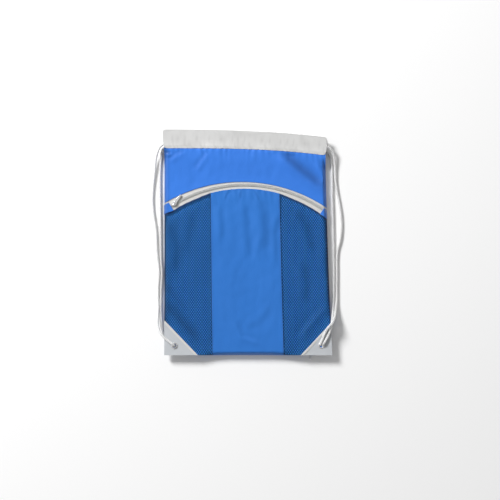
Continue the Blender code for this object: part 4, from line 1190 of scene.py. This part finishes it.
class BACKPACK_OT_nets(bpy.types.Operator):
    """Knit and lay the pocket's two net panels"""
    bl_idname = "backpack.nets"
    bl_label = "Net panels"

    def execute(self, context):
        yarn = net_yarn("net_yarn", colours().net)
        for side, name, share, _ in SIDES:
            ends = ordered(side, share_line(share, -side * NET_UNDER_SEAM), side_edge(side))
            make_net(f"net_{name}", side, *ends, yarn, f"pocket_mesh_{name}")
        # painted shadow: the bindings are darkened to stand for the shade under the zipper tape and beside
        # the seams
        tape = woven("shadowed_binding_nylon", colours().binding, roughness=0.7, sheen=0.0)
        for side, name, share, _ in SIDES:
            inner = share_line(share, -side * SEAM_OVERLAP)
            shadowed_binding_strip(
                f"shadowed_binding_top_{name}", *ordered(side, inner, side_edge(side)),
                lambda x: pocket_top(x, -TOP_BINDING_WIDTH), lambda x: pocket_top(x, BINDING_OVER_NET),
                TOP_BINDING_LEVEL, tape)
            shadowed_binding_strip(
                f"shadowed_binding_seam_{name}", *ordered(side, inner, share_line(share, side * BINDING_WIDTH)),
                bottom_edge, pocket_top, BINDING_LEVEL, tape)
        for side, name, _, _ in SIDES:
            edge = side_edge(side)
            inner = moved_line(edge, -side * SIDE_BINDING_WIDTH)
            foot = PATCH_SIZES[side][0] - HALF_LENGTH - BINDING_UNDER_PATCH
            shadowed_binding_strip(
                f"shadowed_binding_side_{name}", *ordered(side, inner, edge), lambda x: foot, pocket_top,
                BINDING_LEVEL, tape)
        return {"FINISHED"}


# ---- casings ----


def casing_outline(width, step):
    """Point of the flattened tunnel's outline as (along the bag, height), counted from its lower edge."""
    angle = math.tau * step / CASING_STEPS
    across = math.copysign(abs(math.cos(angle)) ** 0.22, math.cos(angle))
    height = math.copysign(abs(math.sin(angle)) ** 0.75, math.sin(angle))
    return width / 2 - across * width / 2, CASING_THICKNESS / 2 * height


def cord_bulge(x, along, facing):
    """The casing is proud over the two cords and slack between them."""
    height = along - casing_seam(x)
    cords = (0.0055, 0.0165) if facing > 0 else (0.0050, 0.0160)
    near = min(abs(height - line) for line in cords)
    return ease(1.0 - near / 0.006)


def crease_line(x, y, stretch_x, stretch_y, seed, width):
    """1 along the wandering lines where a stretched noise crosses zero, falling to 0 beside them."""
    value = noise.noise(Vector((x * stretch_x, y * stretch_y, seed)))
    return ease(1.0 - abs(value) / width)


def casing_creases(x, y, up, facing):
    """Slanting creases low on the wall, a long one at mid height and gathers along the seam."""
    slant = crease_line(x + 0.6 * y, y, 42.0, 14.0, 20.0 + facing, 0.13)
    long = crease_line(x, y, 9.0, 60.0, 27.0 + facing, 0.10)
    gather = crease_line(x + 0.3 * y, y, 110.0, 12.0, 31.0 + facing, 0.16)
    return min(slant * ease(1.6 - up * 1.5) + 0.6 * long + 0.7 * gather * ease(1.0 - up * 2.2), 1.2)


def make_casing(name, centre_z, facing, material, node):
    piece = flat_grid(name, CASING_COLUMNS, CASING_STEPS)
    shades = []
    for vertex in piece.data.vertices:
        share = vertex.co.x + 0.5
        step = round((vertex.co.y + 0.5) * CASING_STEPS) % CASING_STEPS
        x = blend(LEFT_EDGE_X, RIGHT_EDGE_TOP_X, share)
        low = casing_seam(x) - CASING_UNDERLAP
        width = casing_top(x) + CASING_EXTRA_WIDTH - low
        along, height = casing_outline(width, step)
        up = along / width
        inward = LOOP_ROOM * (0.5 - facing * height / CASING_THICKNESS)
        flare = CASING_END_FLARE * ease(up / 0.4)
        x = blend(LEFT_EDGE_X - flare + inward, RIGHT_EDGE_TOP_X + flare - inward, share)
        y = low + along
        z = centre_z + height
        creases = casing_creases(x, y, up, facing)
        if height * facing > 0:
            middle = math.sin(math.pi * min(max(up, 0.0), 1.0)) ** 0.5
            loose = 1.0 - cord_bulge(x, y, facing)
            z -= facing * middle * (0.0012 * loose + creases * (0.0002 + 0.0007 * loose))
            if facing > 0:
                z = max(z, chest_surface(x, y) + 0.0007 * ease(4.0 - 20.0 * up))
        vertex.co = (x, y, max(z, 0.0))
        # painted shade in the casing's creases, kept for its colour
        shades.append(CASING_SHADE * creases)
    store_shade(piece, shades)
    face_outward(piece)
    thicken(piece, CLOTH)
    return finish_piece(piece, material, "grey_nylon", "bag", node)


class BACKPACK_OT_casings(bpy.types.Operator):
    """Sew the front and back drawcord casings"""
    bl_idname = "backpack.casings"
    bl_label = "Drawcord casings"

    def execute(self, context):
        grey = woven("casing_nylon", colours().casing, roughness=0.6, sheen=0.1, variation=0.05)
        top = MOUTH_HEIGHT - CASING_THICKNESS / 2
        make_casing("front_casing_cloth", top, 1, grey, "front_casing")
        make_casing("back_casing_cloth", CASING_THICKNESS / 2, -1, grey, "back_casing")
        return {"FINISHED"}


# ---- zipper ----


def tape_surface(x, y):
    return front_surface(x, y) - LAYER


def tooth_template():
    """One turn of the coil: a rounded bar from the tape to just past the chain's centre."""
    deselect_all()
    bpy.ops.mesh.primitive_cube_add(size=1.0)
    piece = bpy.context.object
    piece.scale = (sizes().tooth_pitch * 0.56, COIL_OUTER + TOOTH_REACH, 0.0012)
    bpy.ops.object.transform_apply(location=True, rotation=True, scale=True)
    open_whole(piece)
    bpy.ops.mesh.bevel(offset=0.00032, affect="EDGES", segments=2)
    close_mesh()
    return piece


def make_coil(name, side, material, node):
    """A row of slanting coil turns; the turns of the two rows pass between each other."""
    offset = (COIL_OUTER - TOOTH_REACH) / 2
    start = math.asin((LEFT_EDGE_X + COIL_LEFT_MARGIN - CHAIN_X) / CHAIN_RADIUS)
    end = math.asin((COIL_RIGHT_X - CHAIN_X) / CHAIN_RADIUS)
    step = sizes().tooth_pitch / CHAIN_RADIUS
    lean = offset * math.tan(TOOTH_SLANT) / CHAIN_RADIUS
    radius = CHAIN_RADIUS + side * offset
    places = []
    for i in range(int((end - start) / step)):
        angle = start + step * (i + 0.25 * side) + side * lean
        x = CHAIN_X + radius * math.sin(angle)
        y = CHAIN_Y + radius * math.cos(angle)
        places.append(surface_frame(x, y, front_surface, 0.0, -angle - TOOTH_SLANT))
    piece = scatter(name, tooth_template(), places)
    face_outward(piece)
    return finish_piece(piece, material, "zipper_coil", "bag", node)


class BACKPACK_OT_zipper(bpy.types.Operator):
    """Lay the zipper's two tapes and its two rows of coil"""
    bl_idname = "backpack.zipper"
    bl_label = "Zipper tapes and coil"

    def execute(self, context):
        tape = woven("tape_weave", colours().tape, pitch=0.0006, roughness=0.7, sheen=0.1, variation=0.06)
        coil = moulded("coil_nylon", colours().coil)
        bands = (
            ("lower", lambda x: pocket_top(x, -TAPE_UNDER_NET), lambda x: chain_arc(x, -0.0001)),
            ("upper", lambda x: chain_arc(x, 0.0001), lambda x: upper_arc(x, SEAM_ALLOWANCE)),
        )
        for name, low, high in bands:
            place = panel_place(left_edge, right_edge, low, high, tape_surface)
            piece = cloth(f"tape_{name}", grid_count(0.34), 8, place, THICK_CLOTH)
            finish_piece(piece, tape, "zipper_tape", "bag", f"zipper_tape_{name}")
        make_coil("coil_lower", -1, coil, "zipper_coil_lower")
        make_coil("coil_upper", 1, coil, "zipper_coil_upper")
        return {"FINISHED"}


def tab_place(angle, outer_side):
    """Lays u from a line across the chain to the bag's side edge, v from the pocket to the upper tape."""
    def place(u, v):
        x = outer_side(0.065)
        y = 0.065
        for _ in range(5):
            y = blend(pocket_top(x, -0.0002), upper_arc(x, -TAB_MARGIN), v)
            inner_x = CHAIN_X + (y - CHAIN_Y) * math.tan(angle)
            x = blend(inner_x, outer_side(y), u)
        return x, y, front_surface(x, y) + TAB_LEVEL
    return place


class BACKPACK_OT_tabs(bpy.types.Operator):
    """Fold the two cloth tabs over the zipper's ends"""
    bl_idname = "backpack.tabs"
    bl_label = "Zipper end tabs"

    def execute(self, context):
        nylon = woven("tab_nylon", colours().nylon)
        ends = (("left", TAB_LEFT_ANGLE, left_edge), ("right", TAB_RIGHT_ANGLE, right_edge))
        for side, angle, outer in ends:
            piece = cloth(f"tab_{side}", 14, 16, tab_place(angle, outer), TAB_CLOTH)
            face_outward(piece)
            apply_modifier(piece, "BEVEL", width=0.0003, segments=2, limit_method="ANGLE")
            finish_piece(piece, nylon, "blue_nylon", "bag", f"zipper_tab_{side}")
        return {"FINISHED"}


# ---- corner patches ----


def patch_point(side, along, inset=0.0, out=1.0, least=0.0):
    """Point a share of the way up a patch's slanting edge, moved inward, then a share out from the side."""
    rise, run = PATCH_SIZES[side]
    y = along * rise - HALF_LENGTH
    reach = max(run * (1.0 - along) - inset * math.hypot(rise, run) / rise, least)
    return side_edge(side)(y) - side * out * reach, y


def patch_place(side, surface):
    """Lays u from the bag's side edge and v up from the bottom over a triangle."""
    def place(u, v):
        x, y = patch_point(side, v, out=u)
        return x, y, surface(x, y)
    return place


def patch_front(x, y):
    return front_height(x, y) + LAYER


def hem_front(x, y):
    return patch_front(x, y) + HEM_THREAD_LEVEL


def patch_back(x, y):
    return lift(x, y) - GAP


def make_patch(name, side, surface, material, hem_material, grommet, node, facing):
    """A triangular patch with a folded hem along its slanting edge."""
    def soft(x, y):
        inside = -inside_patch_line(x, y)
        ripple = 0.0004 * noise.noise(Vector((x * 60, y * 60, 31.0 + facing))) * ease(inside / 0.006)
        return surface(x, y) + facing * ripple

    piece = cloth(name, 40, 40, patch_place(side, soft), THICK_CLOTH, paint_crease_shade=False)
    face_outward(piece)
    open_hole(piece, grommet)
    hem = flat_grid(name + "_hem", 60, 6)
    for vertex in hem.data.vertices:
        across = vertex.co.y + 0.5
        x, y = patch_point(side, (vertex.co.x + 0.5) * HEM_REACH, across * HEM_WIDTH)
        puff = HEM_PUFF * math.sin(math.pi * across)
        z = surface(x, y) + (CLOTH if facing > 0 else -THICK_CLOTH) + facing * puff
        vertex.co = (x, y, z)
    thicken(hem, CLOTH)
    face_outward(hem)
    finish_piece(hem, hem_material, "patch_nylon", "bag")
    return finish_piece(piece, material, "patch_nylon", "bag", node)


class BACKPACK_OT_patches(bpy.types.Operator):
    """Sew the four corner patches"""
    bl_idname = "backpack.patches"
    bl_label = "Corner patches"

    def execute(self, context):
        grey = woven("patch_nylon", colours().patch, roughness=0.6, sheen=0.1, variation=0.07)
        pale = woven("hem_nylon", colours().hem, roughness=0.6, sheen=0.1, variation=0.05)
        for side, name, _, grommet in SIDES:
            for wall, surface, facing in (("front", patch_front, 1), ("back", patch_back, -1)):
                make_patch(f"patch_{wall}_{name}", side, surface, grey, pale, grommet,
                           f"corner_patch_{wall}_{name}", facing)
        return {"FINISHED"}


# ---- metal ----


def rounded_metal(node, edge, material, slot, body):
    """The piece of the frame with its edges broken, so that they catch the light."""
    take(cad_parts[node])
    bpy.ops.object.duplicate()
    piece = bpy.context.object
    open_whole(piece)
    bpy.ops.mesh.remove_doubles(threshold=1e-6)
    bpy.ops.mesh.dissolve_limited(angle_limit=math.radians(2))
    close_mesh()
    apply_modifier(piece, "BEVEL", width=edge, segments=3, limit_method="ANGLE", angle_limit=math.radians(30))
    piece.name = node + "_metal"
    return finish_piece(piece, material, slot, body, node)


class BACKPACK_OT_metal(bpy.types.Operator):
    """Make the grommets, washers, slider and puller with softly rounded edges"""
    bl_idname = "backpack.metal"
    bl_label = "Metal pieces"

    def execute(self, context):
        nickel = plated("grommet_nickel", colours().metal, 0.26)
        zinc = plated("slider_zinc", shade(colours().metal, 1.1), 0.20)
        for node in ("grommet_left", "grommet_right", "grommet_washer_left", "grommet_washer_right"):
            rounded_metal(node, EDGE_BREAKS["grommet"], nickel, "nickel_steel", "bag")
        for name in ("slider", "puller"):
            rounded_metal(f"zipper_{name}", EDGE_BREAKS[name], zinc, "zinc_metal", name)
        return {"FINISHED"}


# ---- sewing ----


class BACKPACK_OT_sewing(bpy.types.Operator):
    """Stitch the seams"""
    bl_idname = "backpack.sewing"
    bl_label = "Seams"

    def execute(self, context):
        blue = sewn_thread("blue_thread", colours().thread)
        pale = sewn_thread("pale_thread", colours().pale_thread)
        left = LEFT_EDGE_X + SEAM_END
        right = RIGHT_EDGE_TOP_X - SEAM_END
        low = -HALF_LENGTH + 0.002
        seams = []
        for side, _, share, _ in SIDES:
            line = share_line(share, -side * STITCH_INSET)
            points = [(line(y), y) for y in spaced(60, low, SEAM_TOPS[side])]
            seams.append((points, front_surface, CENTRE_LEVEL))
        over_zip = [(x, upper_arc(x, CHEST_STITCH_INSET)) for x in spaced(60, left, right)]
        under_zip = [(x, pocket_top(x, -ZIP_STITCH_INSET)) for x in spaced(50, left + 0.018, right - 0.010)]
        seams.append((over_zip, front_surface, 0.0))
        seams.append((under_zip, front_surface, BINDING_LEVEL))
        sew("blue_stitches", seams, blue, "blue_nylon")
        pale_seams = []
        shares = spaced(24, 0.03, 0.93)
        for side in PATCH_SIZES:
            inset = HEM_WIDTH - STITCH_INSET
            points = [patch_point(side, along, inset, least=0.001) for along in shares]
            pale_seams.append((points, hem_front, 0.0))
        sew("pale_stitches", pale_seams, pale, "patch_nylon")
        return {"FINISHED"}


# ---- stage ----


class BACKPACK_OT_stage(bpy.types.Operator):
    """Set the white floor, the soft light and the overhead camera"""
    bl_idname = "backpack.stage"
    bl_label = "Stage, light and camera"

    def execute(self, context):
        scene = context.scene
        scene.view_settings.view_transform = "Standard"
        data = bpy.data.cameras.new("photo_camera")
        data.lens = LENS
        data.sensor_width = SENSOR
        camera = bpy.data.objects.new("photo_camera", data)
        distance = METRES_PER_PIXEL * PHOTO_PIXELS * LENS / SENSOR
        camera.location = (*PHOTO_CENTRE, PHOTO_PLANE + distance)
        data.clip_end = 50.0
        scene.collection.objects.link(camera)
        scene.camera = camera
        self.make_floor()
        self.make_world(scene)
        self.make_window(scene)
        return {"FINISHED"}

    def make_floor(self):
        deselect_all()
        bpy.ops.mesh.primitive_plane_add(size=FLOOR_SIZE, location=(0.0, 0.0, FLOOR_LEVEL))
        floor = bpy.context.object
        floor.name = "floor"
        finish = Finish("white_floor", 0.9, specular=0.1)
        finish.set("Base Color", (FLOOR_WHITE, FLOOR_WHITE, FLOOR_WHITE, 1.0))
        finish.set("Emission Color", (1.0, 1.0, 1.0, 1.0))
        seen = finish.root.node("ShaderNodeLightPath", {}, {}, "Is Camera Ray")
        finish.feed("Emission Strength", seen * FLOOR_GLOW)
        floor.data.materials.append(finish.material)

    def make_world(self, scene):
        """Even fill; mirrored rays see a room that is bright on one side and dim on the other."""
        world = bpy.data.worlds.new("studio")
        scene.world = world
        world.use_nodes = True
        tree = world.node_tree
        root = Signal(tree)
        seen = root.node("ShaderNodeLightPath", {}, {}, "Is Camera Ray")
        mirrored = root.node("ShaderNodeLightPath", {}, {}, "Is Glossy Ray")
        way = root.node("ShaderNodeTexCoord", {}, {}, "Generated")
        across, along, up = root.axes(way)
        bright_side = (along - across) * 0.55 + up * 0.20 + 0.50
        strength = seen * (1.0 - FILL) + mirrored * (bright_side - FILL) + FILL
        background = tree.nodes["Background"]
        background.inputs["Color"].default_value = (1.0, 1.0, 1.0, 1.0)
        tree.links.new(strength.socket, background.inputs["Strength"])

    def make_window(self, scene):
        """A round soft light."""
        data = bpy.data.lights.new("window", "AREA")
        data.shape = "DISK"
        data.size = WINDOW_SIZE
        data.energy = WINDOW_SHARE * (math.pi * WINDOW_DISTANCE) ** 2 / math.sin(WINDOW_HEIGHT)
        light = bpy.data.objects.new("window", data)
        level = math.cos(WINDOW_HEIGHT)
        way = Vector((level * math.cos(WINDOW_TURN), level * math.sin(WINDOW_TURN), math.sin(WINDOW_HEIGHT)))
        light.location = way * WINDOW_DISTANCE
        light.rotation_euler = (-way).to_track_quat("-Z", "Y").to_euler()
        scene.collection.objects.link(light)


class BACKPACK_PT_panel(bpy.types.Panel):
    """Lists the steps that dress the backpack"""
    bl_idname = "BACKPACK_PT_panel"
    bl_label = "Drawstring backpack"
    bl_space_type = "VIEW_3D"
    bl_region_type = "UI"
    bl_category = "Backpack"

    def draw(self, context):
        for operator in OPERATORS:
            self.layout.operator(operator.bl_idname)
        for group in (context.scene.backpack_cloth, context.scene.backpack_colours):
            for name in group.__annotations__:
                self.layout.prop(group, name)


OPERATORS = (
    BACKPACK_OT_stage, BACKPACK_OT_drawcords, BACKPACK_OT_back_wall, BACKPACK_OT_front_panels,
    BACKPACK_OT_nets, BACKPACK_OT_casings, BACKPACK_OT_zipper, BACKPACK_OT_tabs, BACKPACK_OT_patches,
    BACKPACK_OT_metal, BACKPACK_OT_sewing,
)
CLASSES = (BACKPACK_PG_cloth, BACKPACK_PG_colours, *OPERATORS, BACKPACK_PT_panel)


def register():
    for item in CLASSES:
        bpy.utils.register_class(item)
    bpy.types.Scene.backpack_cloth = bpy.props.PointerProperty(type=BACKPACK_PG_cloth)
    bpy.types.Scene.backpack_colours = bpy.props.PointerProperty(type=BACKPACK_PG_colours)


def unregister():
    del bpy.types.Scene.backpack_colours
    del bpy.types.Scene.backpack_cloth
    for item in reversed(CLASSES):
        bpy.utils.unregister_class(item)


def main():
    register()
    bpy.ops.backpack.stage()
    bpy.ops.backpack.drawcords()
    bpy.ops.backpack.back_wall()
    bpy.ops.backpack.front_panels()
    bpy.ops.backpack.nets()
    bpy.ops.backpack.casings()
    bpy.ops.backpack.zipper()
    bpy.ops.backpack.tabs()
    bpy.ops.backpack.patches()
    bpy.ops.backpack.metal()
    bpy.ops.backpack.sewing()


if __name__ == "__main__":
    main()
